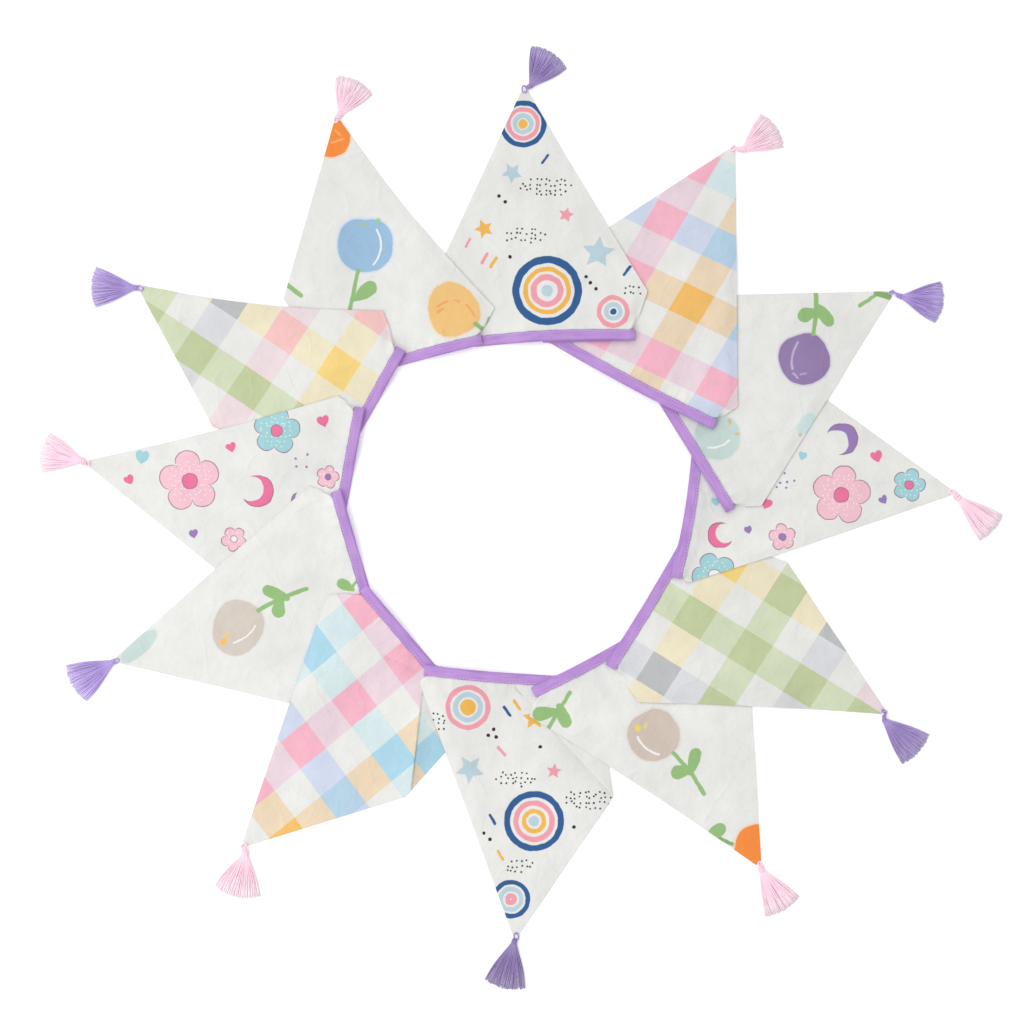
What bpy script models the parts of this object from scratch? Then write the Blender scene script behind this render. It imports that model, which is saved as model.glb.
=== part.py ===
# Fabric bunting laid flat in a closed ring: twelve double-sided pennants on one folded binding tape,
# a yarn tassel tied to each tip. Sizes in the tables are millimetres; the model itself is in metres.
# Plan positions are measured from the middle of the ring, +X to the right and +Y to the top.

import math
from collections import namedtuple

import bmesh
import bpy
from mathutils import Vector

MM = 0.001

# cloth: two cotton layers sewn together and turned
CLOTH_THICK = 1.0
AIR_GAP = 0.3
TIP_WIDTH = 7.0

# binding tape: folded lengthwise over the pennants' top edges
TAPE_WIDTH = 10.5
TAPE_WALL = 0.5
SLOT = CLOTH_THICK + 2 * AIR_GAP
TAPE_THICK = SLOT + 2 * TAPE_WALL
BARE_SLOT = 0.3
BARE_THICK = BARE_SLOT + 2 * TAPE_WALL
SLOT_DEPTH = 7.5
FOLD_RADIUS = (BARE_THICK + AIR_GAP) / 2
FOLD_STEPS = 4
TAPER = 3.0
TUCK = 6.0

# heights of the middle of the tape in the three layers of a fold-back
LOW = TAPE_THICK / 2
MIDDLE = TAPE_THICK + AIR_GAP + BARE_THICK / 2
HIGH = TAPE_THICK + BARE_THICK + 2 * AIR_GAP + TAPE_THICK / 2

# how a pennant settles: flat on the floor, or over its neighbour's edge
FLOOR_MID = CLOTH_THICK / 2
OVER_MID = 2 * CLOTH_THICK + 1.5
OVER_REACH = 20.0
OVER_RAMP = 26.0
UNDER_REACH = 10.0
UNDER_RAMP = 10.0
TAPE_BLEND = 30.0
RISE_LENGTH = 40.0

# rows of a pennant, as distances from the tape towards the tip
WIDE_ROW = 30.0
TUCK_ROW = 105.0
TIP_ROW = 245.0
ROWS = (0.0, 8.0, 18.0, WIDE_ROW, 50.0, 76.0, TUCK_ROW, 140.0, 175.0, 210.0, TIP_ROW)
COLUMNS = 10

# tassels
STRANDS_A_LAYER = 11
STRAND_HEIGHT = 1.5
ROOT_LENGTH = 5.0
ROOT_DEPTH = 1.5
FAN_BACK = 8.0
FAN_SHARE = 0.92

# One row for each pennant's stretch of tape, clockwise from the top. start and end are the middle of its
# visible stretch, bow is how far its middle curves outwards.
Tape = namedtuple("Tape", "start end bow")
TAPES = (
    Tape((-44, 173.5), (115, 180), 2.6),
    Tape((33, 176.5), (195, 90), -2.2),
    Tape((142, 117), (210.5, 5), 0.0),
    Tape((177, 61), (156, -63), 2.4),
    Tape((161, -36), (90, -152), 1.0),
    Tape((103, -131), (13, -177.5), 1.0),
    Tape((34, -166), (-96, -155), 1.0),
    Tape((-88, -154.5), (-157, -73), 0.0),
    Tape((-155, -76), (-184, 24), 0.0),
    Tape((-179, 6), (-160, 107.5), 0.0),
    Tape((-164.5, 84), (-118.5, 166), 0.0),
    Tape((-126, 153), (-37, 175.5), 0.5),
)

# One row for each pennant's cloth. wide is the clipped corner that lies over the next pennant, bend is how
# far the long edge below it curves outwards, tip is where the tassel is tied, tuck is the corner that slides
# under the pennant before, inner is the hidden corner beyond it, fold is the height of the crease between
# the start of the tape and tuck.
Pennant = namedtuple("Pennant", "cloth wide bend tip tuck inner fold")
PENNANTS = (
    Pennant("rings", (127.5, 223.5), -0.8, (4.5, 423.5), (-78, 254), (-75, 191), 0.4),
    Pennant("pink_check", (217.5, 108), 0.0, (212, 364.5), (84, 284.5), (21, 220), 0.0),
    Pennant("tulips", (241, 9), -0.5, (369.5, 221), (208, 220), (146, 176), 0.0),
    Pennant("blossoms", (168, -67.5), 1.5, (430, 23), (296, 123), (243, 66), 0.0),
    Pennant("green_check", (118, -187), -1.5, (362, -195.5), (267, -47), (216, -30), 0.6),
    Pennant("tulips", (9, -201), -2.5, (238.5, -347.5), (231.5, -186), (175, -136), 0.0),
    Pennant("rings", (-101, -167), -0.5, (-4, -419), (93, -282), (82, -204), 1.2),
    Pennant("pink_check", (-193.5, -80), 0.0, (-274.5, -328.5), (-115, -282), (-64, -225), 1.4),
    Pennant("tulips", (-211, 29), 0.0, (-402, -145), (-231, -188), (-189, -152), 0.0),
    Pennant("blossoms", (-182, 119), -3.0, (-430.5, 51.5), (-300, -57.5), (-234, -46), 0.0),
    Pennant("green_check", (-137, 204), -6.5, (-378, 226), (-307, 88), (-237, 70), 0.9),
    Pennant("tulips", (-25.5, 207), -5.0, (-183, 393), (-236.5, 216), (-200, 166), 0.0),
)

# One row for each tassel: the middle of its tied neck, the way it points and half its spread in degrees,
# and the distance from the neck to the ends of the strands.
Tassel = namedtuple("Tassel", "neck heading spread reach")
TASSELS = (
    Tassel((11, 429), 58, 32, 39.5),
    Tassel((223, 365), 34, 30, 40.5),
    Tassel((382, 218), -8, 30, 42),
    Tassel((438, 17), -42, 21, 48),
    Tassel((364, -205), -43, 25, 47.5),
    Tassel((241, -355), -60, 25, 46.5),
    Tassel((-6, -427), -102, 26, 47.5),
    Tassel((-274.5, -338), -102, 31, 45.5),
    Tassel((-407, -147), -150, 26, 47.5),
    Tassel((-437.5, 54), 167, 28, 43),
    Tassel((-385, 227), 179, 27, 44),
    Tassel((-179.5, 401), 64, 33, 37.5),
)

# colour and roughness of each material
FINISHES = {
    "rings": ((0.80, 0.80, 0.79), 0.9),
    "tulips": ((0.80, 0.80, 0.78), 0.9),
    "blossoms": ((0.80, 0.79, 0.79), 0.9),
    "pink_check": ((0.86, 0.62, 0.66), 0.9),
    "green_check": ((0.62, 0.70, 0.48), 0.9),
    "tape": ((0.50, 0.25, 0.72), 0.7),
    "purple_yarn": ((0.40, 0.29, 0.66), 0.8),
    "pink_yarn": ((0.88, 0.62, 0.70), 0.8),
}


def smooth(value):
    value = min(1.0, max(0.0, value))
    return value * value * (3 - 2 * value)


def mix(low, high, share):
    return low + (high - low) * share


def along(first, second, share):
    return Vector(first).lerp(Vector(second), share)


def left_of(direction):
    return Vector((-direction.y, direction.x))


def distance_to_line(point, first, second):
    run = second - first
    share = min(1.0, max(0.0, (point - first).dot(run) / run.length_squared))
    return (point - first - run * share).length


def inside(point, outline):
    hit = False
    for first, second in zip(outline, outline[1:] + outline[:1]):
        if (first.y > point.y) != (second.y > point.y):
            cross = first.x + (point.y - first.y) * (second.x - first.x) / (second.y - first.y)
            hit ^= point.x < cross
    return hit


def distance_outside(point, outline):
    if inside(point, outline):
        return 0.0
    edges = zip(outline, outline[1:] + outline[:1])
    return min(distance_to_line(point, first, second) for first, second in edges)


# The layout of one pennant and its stretch of tape, worked out from its row and its neighbours' rows.
class Layout:
    def __init__(self, number):
        following = (number + 1) % len(PENNANTS)
        self.row = PENNANTS[number]
        self.tape = TAPES[number]
        before = TAPES[number - 1]
        after = TAPES[following]
        self.start = Vector(self.tape.start)
        self.end = Vector(self.tape.end)
        self.run = (self.end - self.start).normalized()
        self.before_run = (Vector(before.end) - Vector(before.start)).normalized()
        self.length = (self.end - self.start).length - TAPER - FOLD_RADIUS - BARE_THICK / 2
        self.back_length = (Vector(after.start) - self.start).dot(self.run) - TUCK - TAPER
        self.outline_before = outline_of(number - 1)
        self.outline_after = outline_of(following)
        self.low_until, self.high_from = self.rise_limits()

    # the tape stays low while its neighbour covers it, and is high where the fold-back lies under it
    def rise_limits(self):
        clear = 0.0
        while distance_outside(self.start + self.run * clear, self.outline_before) < TAPE_WIDTH + 1:
            clear += 1.0
        high = self.back_length - 4.0
        return clear, min(high, clear + RISE_LENGTH)

    def tape_height(self, place):
        span = self.high_from - self.low_until
        return mix(LOW, HIGH, smooth((place - self.low_until) / span))

    # where the middle of the tape is, which way its cloth side faces, and its height
    def stations(self):
        before_side = left_of(self.before_run)
        side = left_of(self.run)
        corner = (before_side + side).normalized()
        corner = corner / corner.dot(side)
        found = [(self.start - self.before_run * TUCK, before_side, LOW)]
        for step in range(COLUMNS + 1):
            place = self.length * step / COLUMNS
            facing = corner if step == 0 else side
            middle = self.start + self.run * place + side * self.tape.bow * math.sin(math.pi * step / COLUMNS)
            found.append((middle, facing, self.tape_height(place)))
        return found

    # height of the middle of the cloth away from the tape
    def cloth_height(self, point, from_tape, tape_height):
        under = distance_outside(point, self.outline_before)
        free = smooth((under - UNDER_REACH) / UNDER_RAMP)
        over = smooth((OVER_REACH + OVER_RAMP - distance_outside(point, self.outline_after)) / OVER_RAMP)
        rest = mix(FLOOR_MID, OVER_MID, over * free)
        rest = max(rest, mix(FLOOR_MID, LOW, smooth(1 - from_tape / 12)))
        lift = (tape_height - rest) * smooth(1 - from_tape / TAPE_BLEND) * free
        return rest + max(0.0, lift)


def outline_of(number):
    tape = TAPES[number]
    row = PENNANTS[number]
    return [Vector(corner) for corner in (tape.start, tape.end, row.wide, row.tip, row.tuck, row.inner)]


def material(name):
    made = bpy.data.materials.get(name)
    if made is None:
        colour, roughness = FINISHES[name]
        made = bpy.data.materials.new(name)
        made.use_nodes = True
        shader = made.node_tree.nodes["Principled BSDF"]
        shader.inputs["Base Color"].default_value = (*colour, 1)
        shader.inputs["Roughness"].default_value = roughness
        shader.inputs["Metallic"].default_value = 0.0
    return made


def add_object(name, mesh_builder, finish):
    mesh = bpy.data.meshes.new(name)
    mesh_builder.normal_update()
    mesh_builder.to_mesh(mesh)
    mesh_builder.free()
    mesh.materials.append(material(finish))
    made = bpy.data.objects.new(name, mesh)
    bpy.context.collection.objects.link(made)
    return made


# joins rings of points into one closed tube with flat ends
def tube(builder, rings):
    loops = [[builder.verts.new(point * MM) for point in ring] for ring in rings]
    count = len(loops[0])
    for first, second in zip(loops, loops[1:]):
        for step in range(count):
            after = (step + 1) % count
            builder.faces.new((first[step], first[after], second[after], second[step]))
    builder.faces.new(reversed(loops[0]))
    builder.faces.new(loops[-1])


# a row of cloth points at one distance from the tape, from the crease to the wide side
def main_row(layout, edge_points, tip_left, tip_right, distance):
    row = layout.row
    crease_top, wide_top = edge_points[1], edge_points[-1]
    if distance < TUCK_ROW:
        left = along(crease_top, row.tuck, distance / TUCK_ROW)
    else:
        left = along(row.tuck, tip_left, (distance - TUCK_ROW) / (TIP_ROW - TUCK_ROW))
    if distance < WIDE_ROW:
        right = along(wide_top, row.wide, distance / WIDE_ROW)
    else:
        share = (distance - WIDE_ROW) / (TIP_ROW - WIDE_ROW)
        outwards = -left_of((tip_right - Vector(row.wide)).normalized())
        right = along(row.wide, tip_right, share) + outwards * row.bend * math.sin(math.pi * share)
    points = []
    for step in range(COLUMNS + 1):
        share = step / COLUMNS
        bend = edge_points[step + 1] - along(crease_top, wide_top, share)
        points.append(left.lerp(right, share) + bend * (1 - distance / TIP_ROW))
    return points


# the hidden corner beyond the crease, two points a row, meeting the crease at the tuck corner
def tucked_row(layout, edge_points, crease_point, distance):
    half = TUCK_ROW / 2
    if distance < half:
        outer = along(edge_points[0], layout.row.inner, distance / half)
    else:
        outer = along(layout.row.inner, layout.row.tuck, (distance - half) / half)
    return [outer, outer.lerp(crease_point, 0.5)]


def pennant_mesh(layout):
    stations = layout.stations()
    slot_end = TAPE_WIDTH / 2 - SLOT_DEPTH + AIR_GAP
    in_slot = [middle + side * slot_end for middle, side, height in stations]
    at_edge = [middle + side * (TAPE_WIDTH / 2 + AIR_GAP) for middle, side, height in stations]
    heights = [height for middle, side, height in stations]
    axis = (Vector(layout.row.tip) - (layout.start + layout.end) / 2).normalized()
    tip_side = left_of(axis) * (TIP_WIDTH / 2)
    tip_left = Vector(layout.row.tip) + tip_side
    tip_right = Vector(layout.row.tip) - tip_side

    builder = bmesh.new()
    grid = []
    for edge in (in_slot, at_edge):
        points = [edge[0], edge[0].lerp(edge[1], 0.5)] + edge[1:]
        levels = [heights[0], mix(heights[0], heights[1], 0.5)] + heights[1:]
        grid.append([builder.verts.new((*(point * MM), level * MM)) for point, level in zip(points, levels)])
    for distance in ROWS[1:]:
        points = main_row(layout, at_edge, tip_left, tip_right, distance)
        tucked = tucked_row(layout, at_edge, points[0], distance) if distance < TUCK_ROW else []
        levels = []
        for index, point in enumerate(tucked + points):
            column = max(0, index - len(tucked))
            level = layout.cloth_height(point, distance, heights[column + 1])
            if column == 0 and distance < TUCK_ROW and index == len(tucked):
                level += layout.row.fold * math.sin(math.pi * distance / TUCK_ROW)
            levels.append(level)
        verts = [builder.verts.new((*(point * MM), level * MM)) for point, level in zip(tucked + points, levels)]
        grid.append(verts)
    for upper, lower in zip(grid, grid[1:]):
        if len(upper) == len(lower):
            for step in range(len(upper) - 1):
                builder.faces.new((upper[step], lower[step], lower[step + 1], upper[step + 1]))
        else:
            corner = lower[0]
            builder.faces.new((upper[0], corner, upper[1]))
            builder.faces.new((upper[1], corner, upper[2]))
            for step in range(COLUMNS):
                builder.faces.new((upper[step + 2], lower[step], lower[step + 1], upper[step + 3]))
    return builder


def make_pennant(number, layout):
    name = "pennant_%02d" % (number + 1)
    made = add_object(name, pennant_mesh(layout), layout.row.cloth)
    solid = made.modifiers.new("thickness", "SOLIDIFY")
    solid.thickness = CLOTH_THICK * MM
    solid.offset = 0.0
    return made


# one cross-section of the tape: a strip folded over a slot that opens to the cloth side
def tape_ring(middle, side, normal, thick, slot):
    half = TAPE_WIDTH / 2
    root = half - SLOT_DEPTH
    section = (
        (-half, -thick / 2),
        (half, -thick / 2),
        (half, -slot / 2),
        (root, -slot / 2),
        (root, slot / 2),
        (half, slot / 2),
        (half, thick / 2),
        (-half, thick / 2),
    )
    return [middle + side * across + normal * up for across, up in section]


def flat_ring(point, side, height, thick, slot, normal_sign=1):
    middle = Vector((point.x, point.y, height))
    return tape_ring(middle, side.to_3d(), Vector((0, 0, normal_sign)), thick, slot)


# a turn of the tape back under itself; forward is the way the tape ran before the turn
def fold_rings(point, forward, side, top, normal_sign):
    rings = []
    axis_height = top - FOLD_RADIUS
    for step in range(1, FOLD_STEPS):
        angle = math.pi * step / FOLD_STEPS
        offset = Vector((forward.x, forward.y, 0)) * math.sin(angle) + Vector((0, 0, math.cos(angle)))
        middle = Vector((point.x, point.y, axis_height)) + offset * FOLD_RADIUS
        rings.append(tape_ring(middle, side.to_3d(), offset * normal_sign, BARE_THICK, BARE_SLOT))
    return rings


def make_tape(layouts):
    rings = []
    low_top = TAPE_THICK - BARE_THICK / 2
    high_bottom = HIGH - TAPE_THICK / 2 + BARE_THICK / 2
    for number, layout in enumerate(layouts):
        before_side = left_of(layout.before_run)
        fold_start = layout.start - layout.before_run * (TUCK + TAPER)
        if number:
            rings.append(flat_ring(fold_start, before_side, MIDDLE, BARE_THICK, BARE_SLOT, -1))
            rings += fold_rings(fold_start, -layout.before_run, before_side, MIDDLE, -1)
        rings.append(flat_ring(fold_start, before_side, low_top, BARE_THICK, BARE_SLOT))
        for point, side, height in layout.stations():
            rings.append(flat_ring(point, side, height, TAPE_THICK, SLOT))
        side = left_of(layout.run)
        fold_end = layout.start + layout.run * (layout.length + TAPER)
        rings.append(flat_ring(fold_end, side, high_bottom, BARE_THICK, BARE_SLOT))
        if number < len(layouts) - 1:
            rings += fold_rings(fold_end, layout.run, side, high_bottom, 1)
            rings.append(flat_ring(fold_end, side, MIDDLE, BARE_THICK, BARE_SLOT, -1))
    builder = bmesh.new()
    tube(builder, rings)
    bmesh.ops.recalc_face_normals(builder, faces=builder.faces)
    return add_object("binding_tape", builder, "tape")


# an eight-sided oval ring that stands on the floor, across the given direction
def oval_ring(point, direction, width, height):
    side = left_of(direction)
    ring = []
    for step in range(8):
        angle = math.tau * (step + 0.5) / 8
        place = point + side * (width / 2 * math.cos(angle) / math.cos(math.pi / 8))
        lift = height / 2 * (1 + math.sin(angle) / math.sin(math.pi * 3 / 8))
        ring.append(Vector((place.x, place.y, lift)))
    return ring


def strand_rings(root, direction, length, root_width, end_width, floor):
    side = left_of(direction)
    rings = []
    for share in (0.0, 0.55, 1.0):
        width = mix(root_width, end_width, share)
        height = STRAND_HEIGHT * (1.0 if share < 1 else 0.7)
        middle = root + direction * (length * share)
        foot_left = middle + side * (width / 2)
        foot_right = middle - side * (width / 2)
        rings.append([
            Vector((foot_left.x, foot_left.y, floor)),
            Vector((foot_right.x, foot_right.y, floor)),
            Vector((middle.x, middle.y, floor + height)),
        ])
    return rings


def make_tassel(number, layout):
    row = TASSELS[number]
    tip = Vector(layout.row.tip)
    axis = (tip - (layout.start + layout.end) / 2).normalized()
    heading = Vector((math.cos(math.radians(row.heading)), math.sin(math.radians(row.heading))))
    neck = Vector(row.neck)
    knot = tip + axis * 3.0
    bend = (axis + (neck - knot).normalized()).normalized()
    root = neck + heading * ROOT_LENGTH

    head = bmesh.new()
    tube(head, [
        oval_ring(tip + axis * AIR_GAP, axis, 6.0, 2.4),
        oval_ring(knot, bend, 8.0, 5.0),
        oval_ring(neck, (bend + heading).normalized(), 6.4, 4.0),
        oval_ring(root, heading, 10.0, 4.2),
    ])
    bmesh.ops.recalc_face_normals(head, faces=head.faces)
    yarn = "pink_yarn" if number % 2 else "purple_yarn"
    made = add_object("tassel_%02d" % (number + 1), head, yarn)

    half_angle = math.radians(row.spread * FAN_SHARE)
    strands = bmesh.new()
    for layer in range(2):
        for step in range(STRANDS_A_LAYER - layer):
            share = (step + 0.5 * (1 + layer)) / STRANDS_A_LAYER
            angle = math.radians(row.heading) + half_angle * (2 * share - 1)
            direction = Vector((math.cos(angle), math.sin(angle)))
            uneven = 1.5 * math.sin(2.3 * step + 1.7 * number + layer)
            length = row.reach - ROOT_LENGTH + ROOT_DEPTH + uneven - layer * 1.5
            pitch = 2 * half_angle / STRANDS_A_LAYER
            start = root - heading * (FAN_BACK + ROOT_DEPTH) + direction * FAN_BACK
            floor = layer * (STRAND_HEIGHT + AIR_GAP)
            root_width = 0.8 * pitch * FAN_BACK
            end_width = 0.84 * pitch * (FAN_BACK + length)
            tube(strands, strand_rings(start, direction, length, root_width, end_width, floor))
    bmesh.ops.recalc_face_normals(strands, faces=strands.faces)
    cutter = add_object("strands_%02d" % (number + 1), strands, yarn)
    cutter.hide_render = True
    cutter.display_type = "WIRE"
    union = made.modifiers.new("strands", "BOOLEAN")
    union.operation = "UNION"
    union.object = cutter
    return made


# moves every mesh so that the origin is under the middle of the laid-out bunting
def centre_all(objects, guides):
    bpy.context.view_layer.update()
    depsgraph = bpy.context.evaluated_depsgraph_get()
    xs, ys = [], []
    for made in objects:
        mesh = made.evaluated_get(depsgraph).to_mesh()
        xs += [vert.co.x for vert in mesh.vertices]
        ys += [vert.co.y for vert in mesh.vertices]
    shift = Vector(((min(xs) + max(xs)) / 2, (min(ys) + max(ys)) / 2, 0))
    for made in objects + guides:
        for vert in made.data.vertices:
            vert.co -= shift


def build():
    for old in list(bpy.data.objects):
        bpy.data.objects.remove(old, do_unlink=True)
    layouts = [Layout(number) for number in range(len(PENNANTS))]
    made = [make_pennant(number, layout) for number, layout in enumerate(layouts)]
    made.append(make_tape(layouts))
    made += [make_tassel(number, layout) for number, layout in enumerate(layouts)]
    guides = [item for item in bpy.data.objects if item.name.startswith("strands_")]
    centre_all(made, guides)


build()
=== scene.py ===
import math
import random
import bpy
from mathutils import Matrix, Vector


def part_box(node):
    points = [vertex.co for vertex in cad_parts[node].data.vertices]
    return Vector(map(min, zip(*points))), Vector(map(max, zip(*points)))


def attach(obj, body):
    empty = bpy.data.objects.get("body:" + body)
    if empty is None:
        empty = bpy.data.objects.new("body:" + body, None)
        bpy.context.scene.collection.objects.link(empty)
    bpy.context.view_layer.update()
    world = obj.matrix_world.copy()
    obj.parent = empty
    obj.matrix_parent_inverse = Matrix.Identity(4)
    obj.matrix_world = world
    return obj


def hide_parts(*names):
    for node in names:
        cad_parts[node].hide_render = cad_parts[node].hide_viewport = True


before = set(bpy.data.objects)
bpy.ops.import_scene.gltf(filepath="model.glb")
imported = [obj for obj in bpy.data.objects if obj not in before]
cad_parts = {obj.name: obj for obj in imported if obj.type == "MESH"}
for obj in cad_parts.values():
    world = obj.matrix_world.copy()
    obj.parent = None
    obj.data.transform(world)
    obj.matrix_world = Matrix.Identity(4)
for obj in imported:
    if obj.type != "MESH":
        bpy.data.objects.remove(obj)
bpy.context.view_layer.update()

from types import SimpleNamespace

import bmesh
import bpy
from mathutils import Matrix, Vector, noise
from mathutils.bvhtree import BVHTree

mm = 0.001

# The bunting lies in a closed ring. Every table is in millimetres from the middle of that ring, +X to the
# right and +Y to the top, and ringMiddle is where that middle is in the frame.
ringMiddle = Vector((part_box("pennant_02")[1].x - 0.2175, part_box("pennant_09")[1].y - 0.029, 0))

tapeSizes = {
    "width": 10.5,
    "wall": 0.45,        # modelled cloth thickness of the tape
    "thick": 2.6,        # outside thickness where it holds a pennant
    "bareThick": 1.3,    # outside thickness where it runs back under itself
    "gap": 0.3,
    "taper": 3.0,
    "tuckIn": 6.0,
    "riseLength": 40.0,
    "foldSteps": 8,
    "stepLength": 3.6,   # length of one mesh cell along the tape
    "sectionCells": 22,
    "waver": 0.16,       # how far the sewn edge wanders
    "turnIn": 14.0,      # the cloth side turns from one stretch to the next over this length
    "stretchSteps": 24,
    "flatWidth": 23.5,   # two walls and the turn between them
}

clothSizes = {
    "thick": 0.9,
    "tipWidth": 7.0,
    "wideRow": 30.0,
    "tuckRow": 105.0,
    "tipRow": 245.0,
    "slotRow": -5.3,
    "heldRow": 9.0,      # the cloth is held flat by the tape as far as this
    "closer": 0.62,      # how much closer the columns are by the edges
    "columns": 72,
    "rows": 104,
    "solidThick": 1.0,   # thickness of the solid that the sheet follows
    "castHeight": 40.0,
    "castInset": 0.6,
    "smoothings": 14,
    "floor": 0.47,       # lowest height of the middle of the cloth
    "ripple": 0.8,
    "waves": ((2.6, 0.03, 0.026), (0.9, 0.075, 0.07)),
    "calmFrom": 6.0,     # ripples start this far from the tape and are full after calmReach
    "calmReach": 14.0,
    "calmUnder": 0.25,
    "pucker": 0.6,
    "puckerReach": 12.0,
    "droop": 0.15,
    "droopReach": 6.0,
    "edgeRest": 2.0,     # the edge sinks to this height
    "edgeFall": 13.0,
}

# one row for each pennant's stretch of tape, clockwise from the top
tapeRows = [
    dict(start=(-44, 173.5), end=(115, 180), bow=2.6),
    dict(start=(33, 176.5), end=(195, 90), bow=-2.2),
    dict(start=(142, 117), end=(210.5, 5), bow=0.0),
    dict(start=(177, 61), end=(156, -63), bow=2.4),
    dict(start=(161, -36), end=(90, -152), bow=1.0),
    dict(start=(103, -131), end=(13, -177.5), bow=1.0),
    dict(start=(34, -166), end=(-96, -155), bow=1.0),
    dict(start=(-88, -154.5), end=(-157, -73), bow=0.0),
    dict(start=(-155, -76), end=(-184, 24), bow=0.0),
    dict(start=(-179, 6), end=(-160, 107.5), bow=0.0),
    dict(start=(-164.5, 84), end=(-118.5, 166), bow=0.0),
    dict(start=(-126, 153), end=(-37, 175.5), bow=0.5),
]

# one row for each pennant: wide is the corner over the next one, tuck and inner are under the one before
pennantRows = [
    dict(cloth="rings", wide=(127.5, 223.5), bend=-0.8, tip=(4.5, 423.5), tuck=(-78, 254), inner=(-75, 191)),
    dict(cloth="pink_check", wide=(217.5, 108), bend=0.0, tip=(212, 364.5), tuck=(84, 284.5), inner=(21, 220)),
    dict(cloth="tulips", wide=(241, 9), bend=-0.5, tip=(369.5, 221), tuck=(208, 220), inner=(146, 176)),
    dict(cloth="blossoms", wide=(168, -67.5), bend=1.5, tip=(430, 23), tuck=(296, 123), inner=(243, 66)),
    dict(cloth="green_check", wide=(118, -187), bend=-1.5, tip=(362, -195.5), tuck=(267, -47),
         inner=(216, -30)),
    dict(cloth="tulips", wide=(9, -201), bend=-2.5, tip=(238.5, -347.5), tuck=(231.5, -186),
         inner=(175, -136)),
    dict(cloth="rings", wide=(-101, -167), bend=-0.5, tip=(-4, -419), tuck=(93, -282), inner=(82, -204)),
    dict(cloth="pink_check", wide=(-193.5, -80), bend=0.0, tip=(-274.5, -328.5), tuck=(-115, -282),
         inner=(-64, -225)),
    dict(cloth="tulips", wide=(-211, 29), bend=0.0, tip=(-402, -145), tuck=(-231, -188), inner=(-189, -152)),
    dict(cloth="blossoms", wide=(-182, 119), bend=-3.0, tip=(-430.5, 51.5), tuck=(-300, -57.5),
         inner=(-234, -46)),
    dict(cloth="green_check", wide=(-137, 204), bend=-6.5, tip=(-378, 226), tuck=(-307, 88), inner=(-237, 70)),
    dict(cloth="tulips", wide=(-25.5, 207), bend=-5.0, tip=(-183, 393), tuck=(-236.5, 216), inner=(-200, 166)),
]


def smooth(value):
    value = min(1.0, max(0.0, value))
    return value * value * (3 - 2 * value)


def mix(low, high, share):
    return low + (high - low) * share


def along(first, second, share):
    return Vector(first).lerp(Vector(second), share)


def leftOf(direction):
    return Vector((-direction.y, direction.x))


def toFrame(point, height):
    return Vector((point.x * mm, point.y * mm, height * mm)) + ringMiddle


# share of the way along a segment, and the distance from it
def nearest(point, first, second):
    run = second - first
    share = min(1.0, max(0.0, (point - first).dot(run) / run.length_squared))
    return share, (point - first - run * share).length


def inside(point, outline):
    hit = False
    for first, second in zip(outline, outline[1:] + outline[:1]):
        if (first.y > point.y) != (second.y > point.y):
            cross = first.x + (point.y - first.y) * (second.x - first.x) / (second.y - first.y)
            hit ^= point.x < cross
    return hit


def distanceOutside(point, outline):
    if inside(point, outline):
        return 0.0
    return min(nearest(point, a, b)[1] for a, b in zip(outline, outline[1:] + outline[:1]))


def outlineOf(number):
    tape, row = tapeRows[number], pennantRows[number]
    corners = (tape["start"], tape["end"], row["wide"], row["tip"], row["tuck"], row["inner"])
    return [Vector(corner) for corner in corners]


# where one pennant and its stretch of tape lie, worked out from its row and its neighbours' rows
def layOut(number):
    sizes = tapeSizes
    tape = tapeRows[number]
    before = tapeRows[number - 1]
    after = tapeRows[(number + 1) % len(tapeRows)]
    start, end = Vector(tape["start"]), Vector(tape["end"])
    run = (end - start).normalized()
    beforeRun = (Vector(before["end"]) - Vector(before["start"])).normalized()
    foldRadius = (sizes["bareThick"] + sizes["gap"]) / 2
    length = (end - start).length - sizes["taper"] - foldRadius - sizes["bareThick"] / 2
    backLength = (Vector(after["start"]) - start).dot(run) - sizes["tuckIn"] - sizes["taper"]
    low = sizes["thick"] / 2
    high = sizes["thick"] * 1.5 + sizes["bareThick"] + 2 * sizes["gap"]
    lowUntil = 0.0
    outlineBefore = outlineOf(number - 1)
    while distanceOutside(start + run * lowUntil, outlineBefore) < sizes["width"] + 1:
        lowUntil += 1.0
    highFrom = min(backLength - 4.0, lowUntil + sizes["riseLength"])
    beforeSide, side = leftOf(beforeRun), leftOf(run)
    corner = (beforeSide + side).normalized()
    return SimpleNamespace(
        number=number, row=pennantRows[number], tape=tape, start=start, end=end, run=run, side=side,
        beforeRun=beforeRun, beforeSide=beforeSide, corner=corner / corner.dot(side), length=length,
        foldRadius=foldRadius, low=low, high=high, lowUntil=lowUntil, highFrom=highFrom,
    )


# middle of the tape, the way its cloth side faces and its height, at a distance from the start
def tapeStation(plan, place):
    share = place / plan.length
    bow = plan.tape["bow"] * math.sin(math.pi * min(1.0, max(0.0, share)))
    turnIn = tapeSizes["turnIn"]
    facing = plan.side.lerp(plan.corner, 1 - place / turnIn) if place < turnIn else plan.side
    height = mix(plan.low, plan.high, smooth((place - plan.lowUntil) / (plan.highFrom - plan.lowUntil)))
    return plan.start + plan.run * place + plan.side * bow, facing, height


layouts = [layOut(number) for number in range(len(pennantRows))]


# node helpers


# a colour as it looks on the table, given back as the dye's own strength under the studio light
def ink(red, green, blue, lightLevel=1.07):
    def linear(value):
        value /= 255
        return (value / 12.92 if value <= 0.04045 else ((value + 0.055) / 1.055) ** 2.4) / lightLevel
    return (linear(red), linear(green), linear(blue), 1.0)


def connect(tree, value, socket):
    if isinstance(value, bpy.types.NodeSocket):
        tree.links.new(value, socket)
    else:
        socket.default_value = value


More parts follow.
